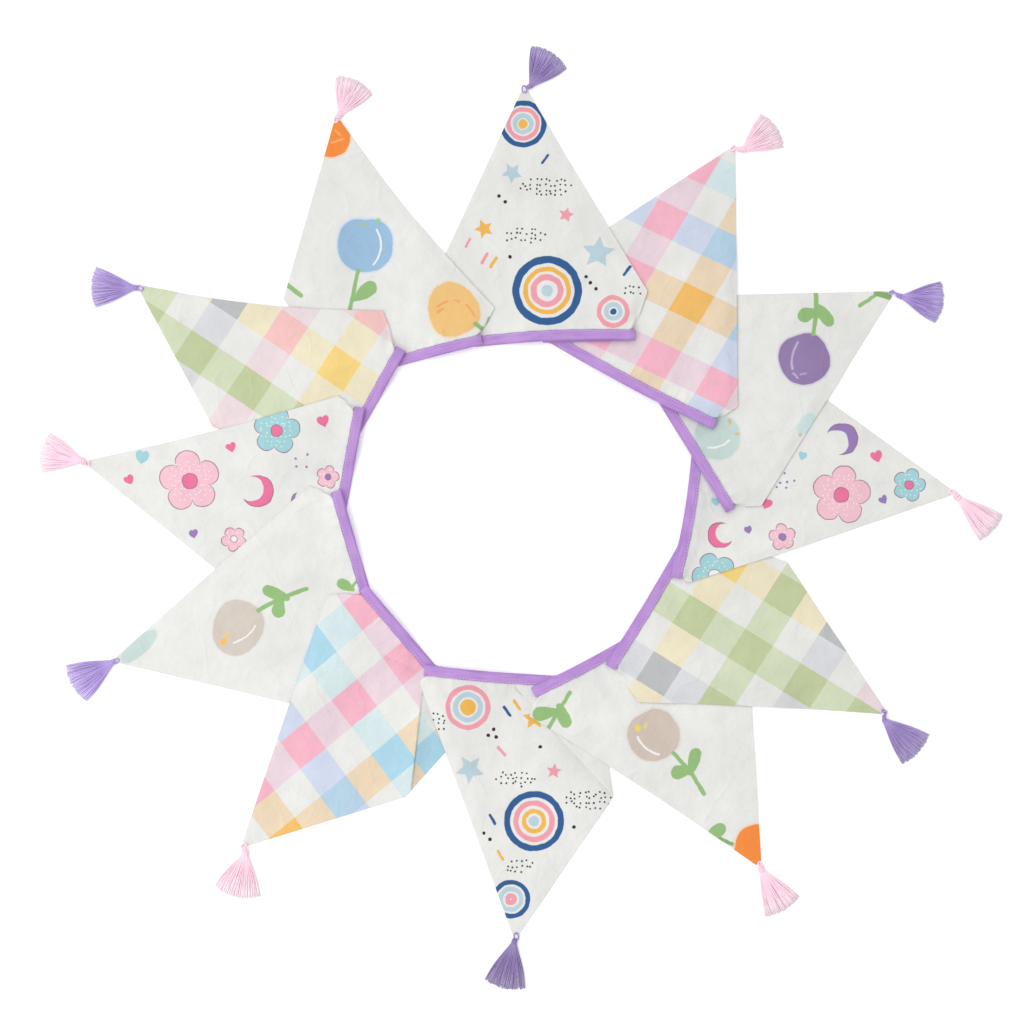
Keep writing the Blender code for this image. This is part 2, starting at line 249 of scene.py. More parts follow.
def addMath(tree, operation, *values, clamp=False):
    node = tree.nodes.new("ShaderNodeMath")
    node.operation = operation
    node.use_clamp = clamp
    for socket, value in zip(node.inputs, values):
        connect(tree, value, socket)
    return node.outputs[0]


def times(tree, first, second):
    return addMath(tree, "MULTIPLY", first, second)


def over(tree, first, second):
    return addMath(tree, "DIVIDE", first, second)


def plus(tree, first, second):
    return addMath(tree, "ADD", first, second)


def minus(tree, first, second):
    return addMath(tree, "SUBTRACT", first, second)


def timesPlus(tree, first, second, third):
    return addMath(tree, "MULTIPLY_ADD", first, second, third)


def distanceTo(tree, x, y):
    return addMath(tree, "SQRT", plus(tree, times(tree, x, x), times(tree, y, y)))


def addVector(tree, operation, *values):
    node = tree.nodes.new("ShaderNodeVectorMath")
    node.operation = operation
    for socket, value in zip(node.inputs, values):
        connect(tree, value, socket)
    return node.outputs["Value"] if operation in ("LENGTH", "DOT_PRODUCT") else node.outputs["Vector"]


def addMix(tree, share, first, second, blend="MIX"):
    node = tree.nodes.new("ShaderNodeMix")
    node.data_type = "RGBA"
    node.blend_type = blend
    connect(tree, share, node.inputs[0])
    connect(tree, first, node.inputs[6])
    connect(tree, second, node.inputs[7])
    return node.outputs[2]


def addNoise(tree, place, scale, detail=2.0, rough=0.5, stretch=None):
    if stretch:
        mapping = tree.nodes.new("ShaderNodeMapping")
        connect(tree, place, mapping.inputs["Vector"])
        mapping.inputs["Scale"].default_value = stretch
        place = mapping.outputs["Vector"]
    node = tree.nodes.new("ShaderNodeTexNoise")
    connect(tree, place, node.inputs["Vector"])
    node.inputs["Scale"].default_value = scale
    node.inputs["Detail"].default_value = detail
    node.inputs["Roughness"].default_value = rough
    return node.outputs["Fac"]


def addRange(tree, value, fromLow, fromHigh, toLow, toHigh):
    node = tree.nodes.new("ShaderNodeMapRange")
    for socket, item in zip(node.inputs, (value, fromLow, fromHigh, toLow, toHigh)):
        connect(tree, item, socket)
    return node.outputs["Result"]


def addRamp(tree, value, stops, interpolation="LINEAR"):
    node = tree.nodes.new("ShaderNodeValToRGB")
    ramp = node.color_ramp
    ramp.interpolation = interpolation
    while len(ramp.elements) < len(stops):
        ramp.elements.new(1.0)
    for element, (position, colour) in zip(ramp.elements, stops):
        element.position = position
        element.color = colour
    connect(tree, value, node.inputs["Fac"])
    return node.outputs["Color"]


def addBump(tree, height, strength, depth, under=None):
    node = tree.nodes.new("ShaderNodeBump")
    node.inputs["Strength"].default_value = strength
    node.inputs["Distance"].default_value = depth
    tree.links.new(height, node.inputs["Height"])
    if under:
        tree.links.new(under, node.inputs["Normal"])
    return node.outputs["Normal"]


def addAttribute(tree, name, output="Fac"):
    node = tree.nodes.new("ShaderNodeAttribute")
    node.attribute_name = name
    return node.outputs[output]


def separate(tree, vector):
    node = tree.nodes.new("ShaderNodeSeparateXYZ")
    connect(tree, vector, node.inputs[0])
    return node.outputs[0], node.outputs[1], node.outputs[2]


# a colour made darker or lighter by a number
def addShade(tree, colour, shade):
    joined = tree.nodes.new("ShaderNodeCombineXYZ")
    for socket in joined.inputs:
        tree.links.new(shade, socket)
    return addMix(tree, 1.0, colour, joined.outputs[0], "MULTIPLY")


def newMaterial(name):
    material = bpy.data.materials.new(name)
    material.use_nodes = True
    return material, material.node_tree, material.node_tree.nodes["Principled BSDF"]


def setInputs(shader, **values):
    for label, value in values.items():
        shader.inputs[label.replace("_", " ")].default_value = value


def newObject(name, data):
    made = bpy.data.objects.new(name, data)
    bpy.context.scene.collection.objects.link(made)
    return made


socketKinds = {"colour": "NodeSocketColor", "number": "NodeSocketFloat", "vector": "NodeSocketVector"}


# a node group from {label: (kind, starting value)}; build gets the tree and its inputs and returns the outputs
def makeGroup(name, inputs, outputs, build):
    group = bpy.data.node_groups.new(name, "ShaderNodeTree")
    for label, (kind, value) in inputs.items():
        socket = group.interface.new_socket(label, in_out="INPUT", socket_type=socketKinds[kind])
        socket.default_value = value
    for label, kind in outputs.items():
        group.interface.new_socket(label, in_out="OUTPUT", socket_type=socketKinds[kind])
    given = group.nodes.new("NodeGroupInput")
    result = group.nodes.new("NodeGroupOutput")
    made = build(group, {label: given.outputs[label] for label in inputs})
    for label, value in made.items():
        group.links.new(value, result.inputs[label])
    return group


def useGroup(tree, group, **values):
    node = tree.nodes.new("ShaderNodeGroup")
    node.node_tree = group
    for label, value in values.items():
        connect(tree, value, node.inputs[label])
    return node


# printed shapes: each group lays one shape of ink over the colour below it

printInputs = {
    "Under": ("colour", (1, 1, 1, 1)), "Ink": ("colour", (0, 0, 0, 1)), "Place": ("vector", (0, 0, 0)),
    "Soft": ("number", 0.7),
}


def inkOver(tree, given, distance):
    mask = addMath(tree, "SUBTRACT", 0.5, over(tree, distance, given["Soft"]), clamp=True)
    return {"Colour": addMix(tree, mask, given["Under"], given["Ink"])}


# the place measured from a centre and turned
def fromCentre(tree, given):
    offset = addVector(tree, "SUBTRACT", given["Place"], given["Centre"])
    turn = tree.nodes.new("ShaderNodeVectorRotate")
    turn.rotation_type = "Z_AXIS"
    tree.links.new(offset, turn.inputs["Vector"])
    tree.links.new(times(tree, given["Turn"], -1.0), turn.inputs["Angle"])
    return separate(tree, turn.outputs["Vector"])[:2]


def buildOval(tree, given):
    x, y = fromCentre(tree, given)
    wide, tall, _ = separate(tree, given["Size"])
    fuller = timesPlus(tree, over(tree, y, tall), given["Egg"], 1.0)
    wide = times(tree, wide, addMath(tree, "MAXIMUM", fuller, 0.3))
    xShare = addMath(tree, "ABSOLUTE", over(tree, x, times(tree, wide, 0.5)))
    yShare = addMath(tree, "ABSOLUTE", over(tree, y, times(tree, tall, 0.5)))
    total = plus(tree, addMath(tree, "POWER", xShare, 2.25), addMath(tree, "POWER", yShare, 2.25))
    radius = addMath(tree, "POWER", total, 1 / 2.25)
    dentAt = addMath(tree, "POWER", over(tree, xShare, 0.3), 2.0)
    dent = addMath(tree, "EXPONENT", times(tree, dentAt, -1.0))
    above = addMath(tree, "GREATER_THAN", y, 0.0)
    radius = timesPlus(tree, times(tree, dent, above), given["Dent"], radius)
    narrow = times(tree, addMath(tree, "MINIMUM", wide, tall), 0.5)
    return inkOver(tree, given, times(tree, minus(tree, radius, 1.0), narrow))


def buildStroke(tree, given):
    reach = addVector(tree, "SUBTRACT", given["End"], given["Start"])
    offset = addVector(tree, "SUBTRACT", given["Place"], given["Start"])
    share = addMath(tree, "DIVIDE", addVector(tree, "DOT_PRODUCT", offset, reach),
                    addVector(tree, "DOT_PRODUCT", reach, reach), clamp=True)
    scaled = tree.nodes.new("ShaderNodeVectorMath")
    scaled.operation = "SCALE"
    tree.links.new(reach, scaled.inputs[0])
    tree.links.new(share, scaled.inputs["Scale"])
    distance = addVector(tree, "LENGTH", addVector(tree, "SUBTRACT", offset, scaled.outputs[0]))
    first, bulge, last = separate(tree, given["Widths"])
    width = timesPlus(tree, minus(tree, last, first), share, first)
    hump = times(tree, times(tree, share, minus(tree, 1.0, share)), 4.0)
    width = timesPlus(tree, hump, bulge, width)
    return inkOver(tree, given, timesPlus(tree, width, -0.5, distance))


def buildArc(tree, given):
    x, y = fromCentre(tree, given)
    far = distanceTo(tree, x, y)
    across = addMath(tree, "ABSOLUTE", minus(tree, far, given["Radius"]))
    across = timesPlus(tree, given["Width"], -0.5, across)
    angle = addMath(tree, "ABSOLUTE", addMath(tree, "ARCTAN2", y, x))
    past = times(tree, minus(tree, angle, given["HalfSpan"]), given["Radius"])
    return inkOver(tree, given, addMath(tree, "MAXIMUM", across, past))


def buildPetals(tree, given):
    x, y = fromCentre(tree, given)
    far = distanceTo(tree, x, y)
    angle = times(tree, addMath(tree, "ARCTAN2", y, x), 2.5)
    petal = addMath(tree, "POWER", addMath(tree, "ABSOLUTE", addMath(tree, "COSINE", angle)), 0.55)
    lost = times(tree, minus(tree, 1.0, petal), given["Depth"])
    edge = times(tree, minus(tree, 1.0, lost), given["Radius"])
    return inkOver(tree, given, minus(tree, far, edge))


# five straight-sided points, each half point folded over the same slanting line
def buildStar(tree, given):
    x, y = fromCentre(tree, given)
    far = distanceTo(tree, x, y)
    turns = times(tree, addMath(tree, "ARCTAN2", y, x), 2.5 / math.pi)
    folded = addMath(tree, "ABSOLUTE", minus(tree, addMath(tree, "FRACT", plus(tree, turns, 0.5)), 0.5))
    angle = times(tree, folded, math.tau / 5)
    inner = 0.48
    reach, rise = 1 - inner * math.cos(math.pi / 5), inner * math.sin(math.pi / 5)
    slant = plus(tree, times(tree, addMath(tree, "SINE", angle), reach),
                 times(tree, addMath(tree, "COSINE", angle), rise))
    edge = times(tree, over(tree, rise, slant), given["Radius"])
    return inkOver(tree, given, minus(tree, far, edge))


def buildHeart(tree, given):
    x, y = fromCentre(tree, given)
    wide = over(tree, addMath(tree, "ABSOLUTE", x), given["Radius"])
    tall = over(tree, y, given["Radius"])
    lifted = minus(tree, times(tree, tall, 1.15), times(tree, addMath(tree, "SQRT", wide), 0.72))
    far = distanceTo(tree, wide, lifted)
    return inkOver(tree, given, times(tree, minus(tree, far, 1.0), given["Radius"]))


# whole dots scattered over an oval patch
def buildDots(tree, given):
    cells = tree.nodes.new("ShaderNodeTexVoronoi")
    cells.voronoi_dimensions = "2D"
    tree.links.new(given["Place"], cells.inputs["Vector"])
    tree.links.new(over(tree, 1.0, given["Pitch"]), cells.inputs["Scale"])
    cells.inputs["Randomness"].default_value = 0.62
    distance = times(tree, cells.outputs["Distance"], given["Pitch"])
    distance = timesPlus(tree, given["Dot"], -0.5, distance)
    offset = addVector(tree, "DIVIDE", addVector(tree, "SUBTRACT", cells.outputs["Position"], given["Centre"]),
                       given["Size"])
    x, y, _ = separate(tree, offset)
    far = distanceTo(tree, x, y)
    outside = timesPlus(tree, addMath(tree, "GREATER_THAN", far, 0.5), 50.0, -25.0)
    return inkOver(tree, given, addMath(tree, "MAXIMUM", distance, outside))


shapeInputs = {
    "oval": (buildOval, {"Centre": ("vector", (0, 0, 0)), "Size": ("vector", (1, 1, 1)), "Turn": ("number", 0),
                         "Dent": ("number", 0), "Egg": ("number", 0)}),
    "stroke": (buildStroke, {"Start": ("vector", (0, 0, 0)), "End": ("vector", (1, 0, 0)),
                             "Widths": ("vector", (1, 0, 1))}),
    "arc": (buildArc, {"Centre": ("vector", (0, 0, 0)), "Radius": ("number", 1), "Width": ("number", 1),
                       "Turn": ("number", 0), "HalfSpan": ("number", 4)}),
    "petals": (buildPetals, {"Centre": ("vector", (0, 0, 0)), "Radius": ("number", 1), "Depth": ("number", 0.4),
                             "Turn": ("number", 0)}),
    "star": (buildStar, {"Centre": ("vector", (0, 0, 0)), "Radius": ("number", 1), "Turn": ("number", 0)}),
    "heart": (buildHeart, {"Centre": ("vector", (0, 0, 0)), "Radius": ("number", 1), "Turn": ("number", 0)}),
    "dots": (buildDots, {"Centre": ("vector", (0, 0, 0)), "Size": ("vector", (1, 1, 1)), "Pitch": ("number", 4),
                         "Dot": ("number", 1)}),
}
shapeGroups = {
    name: makeGroup(name + "Print", {**printInputs, **inputs}, {"Colour": "colour"}, build)
    for name, (build, inputs) in shapeInputs.items()
}


# the hand-printed edge: the place moved a little by noise
def buildHandDrawn(tree, given):
    first = addNoise(tree, given["Place"], 0.11, 2.0)
    second = addNoise(tree, addVector(tree, "ADD", given["Place"], (57.0, 31.0, 0.0)), 0.11, 2.0)
    joined = tree.nodes.new("ShaderNodeCombineXYZ")
    for socket, value in zip(joined.inputs, (first, second)):
        tree.links.new(times(tree, minus(tree, value, 0.5), given["Amount"]), socket)
    return {"Place": addVector(tree, "ADD", given["Place"], joined.outputs[0])}


handDrawn = makeGroup("handDrawn", {"Place": ("vector", (0, 0, 0)), "Amount": ("number", 3.0)},
                      {"Place": "vector"}, buildHandDrawn)


# plain weave: crossing threads and slubs
def buildWeave(tree, given):
    x, y, _ = separate(tree, given["Place"])
    turns = over(tree, math.tau, given["Pitch"])
    warp = addMath(tree, "SINE", times(tree, x, turns))
    weft = addMath(tree, "SINE", times(tree, y, turns))
    threads = times(tree, warp, weft)
    slubs = addNoise(tree, given["Place"], 1.0, 3.0, 0.6, (0.35, 2.2, 1.0))
    crossSlubs = addNoise(tree, given["Place"], 1.0, 3.0, 0.6, (2.2, 0.35, 1.0))
    slub = plus(tree, slubs, crossSlubs)
    height = timesPlus(tree, slub, 0.8, times(tree, threads, 0.5))
    shade = addRange(tree, timesPlus(tree, threads, 0.12, slub), 0.6, 1.4, 0.955, 1.03)
    return {"Height": height, "Shade": shade}


weaveDetail = makeGroup("weaveDetail", {"Place": ("vector", (0, 0, 0)), "Pitch": ("number", 0.62)},
                        {"Height": "number", "Shade": "number"}, buildWeave)


# the soft crumple of pressed cotton, and the short puckers that the sewn tape pulls into it, both in
# millimetres of height; Seam is the distance along the tape, the distance from it, and a seed
def buildFolds(tree, given):
    crumple = addNoise(tree, given["Place"], 0.05, 3.0, 0.55)
    paintedBulgeShade = addNoise(tree, given["Place"], 0.013, 2.0, 0.5)
    bent = addNoise(tree, addVector(tree, "ADD", given["Place"], (91.0, 17.0, 0.0)), 0.02, 1.0, 0.4)
    ridge = addMath(tree, "ABSOLUTE", minus(tree, bent, 0.5))
    ridge = addRange(tree, ridge, 0.0, 0.035, 1.0, 0.0)
    away = separate(tree, given["Seam"])[1]
    pulled = addNoise(tree, given["Seam"], 1.0, 2.0, 0.5, (0.14, 0.03, 1.0))
    fade = addMath(tree, "EXPONENT", times(tree, addMath(tree, "MAXIMUM", away, 0.0), -0.105))
    pucker = times(tree, minus(tree, pulled, 0.5), fade)
    height = timesPlus(tree, ridge, 0.09, times(tree, crumple, 0.8))
    height = timesPlus(tree, pucker, 0.8, height)
    # painted light and shade: the crumples, broad bulges and puckers lighten and darken the colour as if lit
    shade = times(tree, addRange(tree, crumple, 0.3, 0.7, 0.975, 1.022),
                  addRange(tree, paintedBulgeShade, 0.3, 0.7, 0.95, 1.04))
    shade = times(tree, shade, timesPlus(tree, pucker, 0.22, 1.0))
    return {"Height": height, "Shade": shade, "Crumple": crumple}


foldDetail = makeGroup("foldDetail", {"Place": ("vector", (0, 0, 0)), "Seam": ("vector", (0, 50, 0))},
                       {"Height": "number", "Shade": "number", "Crumple": "number"}, buildFolds)


# the turned and pressed edge, read from the distance to the rim in millimetres; its shade is painted shade,
# darker along the last millimetre of the rim and faintly in the trough of the seam
def buildRim(tree, given):
    pressed = addRange(tree, given["Rim"], 0.2, 1.5, 0.0, 1.0)
    ledge = addMath(tree, "ABSOLUTE", minus(tree, given["Rim"], 5.2))
    ledge = addRange(tree, ledge, 0.0, 1.1, 1.0, 0.0)
    height = timesPlus(tree, ledge, -0.25, pressed)
    shade = times(tree, addRange(tree, given["Rim"], 0.0, 1.1, 0.94, 1.0),
                  addRange(tree, ledge, 0.0, 1.0, 1.0, 0.99))
    return {"Height": height, "Shade": shade}


rimDetail = makeGroup("rimDetail", {"Rim": ("number", 10.0)}, {"Height": "number", "Shade": "number"}, buildRim)


# cloths

clothGround = ink(232, 232, 229)

# The stripes of a check run both ways, each coloured stripe between white ones of the same width. Where two
# coloured stripes cross, the cell takes the strong colour of the one with the higher rank.
checks = {
    "pink_check": {
        "order": ("pink", "orange", "blue", "sky"),
        "rank": {"pink": 4, "sky": 3, "blue": 2, "orange": 1},
        "strong": {"pink": ink(244, 181, 199), "sky": ink(172, 214, 232), "blue": ink(182, 210, 229),
                   "orange": ink(242, 189, 106)},
        "pale": {"pink": ink(233, 212, 221), "sky": ink(212, 230, 232), "blue": ink(208, 217, 236),
                 "orange": ink(235, 214, 185)},
        "places": {
            2: dict(pitch=(32.8, 32.0), origin=(35.5, 27.3), tilt=2.5, shear=-0.094, bend=0.1, turned=False),
            8: dict(pitch=(33.7, 33.1), origin=(24.0, 16.1), tilt=-3.95, shear=0.063, bend=-0.3, turned=True),
        },
    },
    "green_check": {
        "order": ("gold", "green", "grey", "pink"),
        "rank": {"green": 4, "pink": 3, "grey": 2, "gold": 1},
        "strong": {"green": ink(194, 205, 160), "pink": ink(244, 196, 194), "grey": ink(188, 190, 191),
                   "gold": ink(245, 213, 130)},
        "pale": {"green": ink(212, 221, 190), "pink": ink(235, 218, 221), "grey": ink(218, 220, 223),
                 "gold": ink(238, 228, 198)},
        "places": {
            5: dict(pitch=(33.5, 32.5), origin=(-18.2, 47.0), tilt=-1.1, shear=0.009, bend=0.2, turned=False),
            11: dict(pitch=(33.3, 32.0), origin=(42.0, 48.1), tilt=-4.2, shear=-0.029, bend=1.0, turned=True),
        },
    },
}


def makeCheckGroup(name, check):
    ranks = check["rank"]
    shown = sorted(ranks, key=ranks.get)

    def rankStops():
        stops = []
        for index, colour in enumerate(check["order"]):
            level = ranks[colour] / 4
            stops.append((index * 0.25, (level, level, level, 1)))
            stops.append((index * 0.25 + 0.125, (0, 0, 0, 1)))
        return stops

    def colourStops(colours):
        stops = [(0.0, clothGround)]
        for index, colour in enumerate(shown):
            stops.append((index * 0.25 + 0.125, colours[colour]))
        return stops

    def build(tree, given):
        found = []
        pitchX, pitchY, _ = separate(tree, given["Pitch"])
        x, y, _ = separate(tree, given["Place"])
        for value, pitch in ((x, pitchX), (y, pitchY)):
            stripe = plus(tree, over(tree, value, pitch), 0.5)
            share = addMath(tree, "FRACT", over(tree, stripe, 8.0))
            found.append(addRamp(tree, share, rankStops(), "CONSTANT"))
        higher = addMath(tree, "MAXIMUM", *found)
        both = addMath(tree, "GREATER_THAN", addMath(tree, "MINIMUM", *found), 0.1)
        pale = addRamp(tree, higher, colourStops(check["pale"]), "CONSTANT")
        strong = addRamp(tree, higher, colourStops(check["strong"]), "CONSTANT")
        return {"Colour": addMix(tree, both, pale, strong)}

    return makeGroup(name, {"Place": ("vector", (0, 0, 0)), "Pitch": ("vector", (33, 33, 1))},
                     {"Colour": "colour"}, build)


checkGroups = {name: makeCheckGroup(name, check) for name, check in checks.items()}

white = ink(242, 242, 240)
leafGreen = ink(150, 191, 125)
darkGreen = ink(138, 176, 108)
orange = ink(248, 143, 64)
mint = ink(199, 217, 212)
mustard = ink(240, 184, 84)
navy = ink(50, 94, 148)
rose = ink(240, 160, 172)
aqua = ink(186, 209, 219)
black = ink(46, 46, 50)
blush = ink(244, 196, 208)
teal = ink(162, 210, 216)
lilac = ink(154, 126, 184)
hotPink = ink(236, 118, 160)
mauve = ink(150, 112, 134)
apricot = ink(242, 163, 102)
sand = ink(217, 190, 138)


# short makers for the rows of a print
def oval(colour, centre, size, turn=0.0, dent=0.0, soft=0.7, egg=0.0):
    return "oval", dict(Ink=colour, Centre=(*centre, 0), Size=(*size, 1), Turn=math.radians(turn), Dent=dent,
                        Soft=soft, Egg=egg)


def stroke(colour, start, end, width, bulge=0.0, endWidth=None, soft=0.7):
    widths = (width, bulge, width if endWidth is None else endWidth)
    return "stroke", dict(Ink=colour, Start=(*start, 0), End=(*end, 0), Widths=widths, Soft=soft)


def arc(colour, centre, radius, width, middle=0.0, halfSpan=200.0, soft=0.6):
    return "arc", dict(Ink=colour, Centre=(*centre, 0), Radius=radius, Width=width, Turn=math.radians(middle),
                       HalfSpan=math.radians(halfSpan), Soft=soft)


def petals(colour, centre, radius, depth=0.42, turn=0.0, soft=0.7):
    return "petals", dict(Ink=colour, Centre=(*centre, 0), Radius=radius, Depth=depth, Turn=math.radians(turn),
                          Soft=soft)


def star(colour, centre, radius, turn=0.0):
    return "star", dict(Ink=colour, Centre=(*centre, 0), Radius=radius, Turn=math.radians(turn))


def heart(colour, centre, radius, turn=0.0):
    return "heart", dict(Ink=colour, Centre=(*centre, 0), Radius=radius, Turn=math.radians(turn))


def dots(colour, centre, size, pitch=4.9, dot=2.0):
    return "dots", dict(Ink=colour, Centre=(*centre, 0), Size=(*size, 1), Pitch=pitch, Dot=dot)


# a tulip head with its pale printed edge
def tulip(colour, halo, centre, size, turn=0.0, dent=0.0, egg=0.0):
    return [oval(halo, centre, (size[0] + 3.0, size[1] + 3.0), turn, dent * 0.7, 2.0, egg),
            oval(colour, centre, size, turn, dent, egg=egg)]


def hoops(centre, *bands):
    return [arc(colour, centre, radius, width) for colour, radius, width in bands]


def spots(colour, *centres):
    return [oval(colour, centre, (3.6, 3.6), soft=0.5) for centre in centres]


# a crescent, its hollow side facing a given way
def moon(colour, centre, radius, facing):
    angle = math.radians(facing)
    hollow = (centre[0] + 0.46 * radius * math.cos(angle), centre[1] + 0.46 * radius * math.sin(angle))
    return [oval(mauve, centre, (radius * 2 + 1.6, radius * 2 + 1.6), soft=0.6),
            oval(colour, centre, (radius * 2, radius * 2)),
            oval(clothGround, hollow, (radius * 1.62, radius * 1.62))]


# a flower with a thin drawn line round it, polka dots and a round middle
def flower(colour, heartColour, centre, radius, turn=0.0):
    middle = radius * 0.24
    return [
        petals(mauve, centre, radius + 0.9, 0.38, turn, 0.6),
        petals(colour, centre, radius, 0.40, turn),
        dots(white, centre, (radius * 1.5, radius * 1.5), 4.8, 1.3),
        oval(mauve, centre, (middle * 2 + 1.4, middle * 2 + 1.4)),
        oval(heartColour, centre, (middle * 2, middle * 2)),
    ]


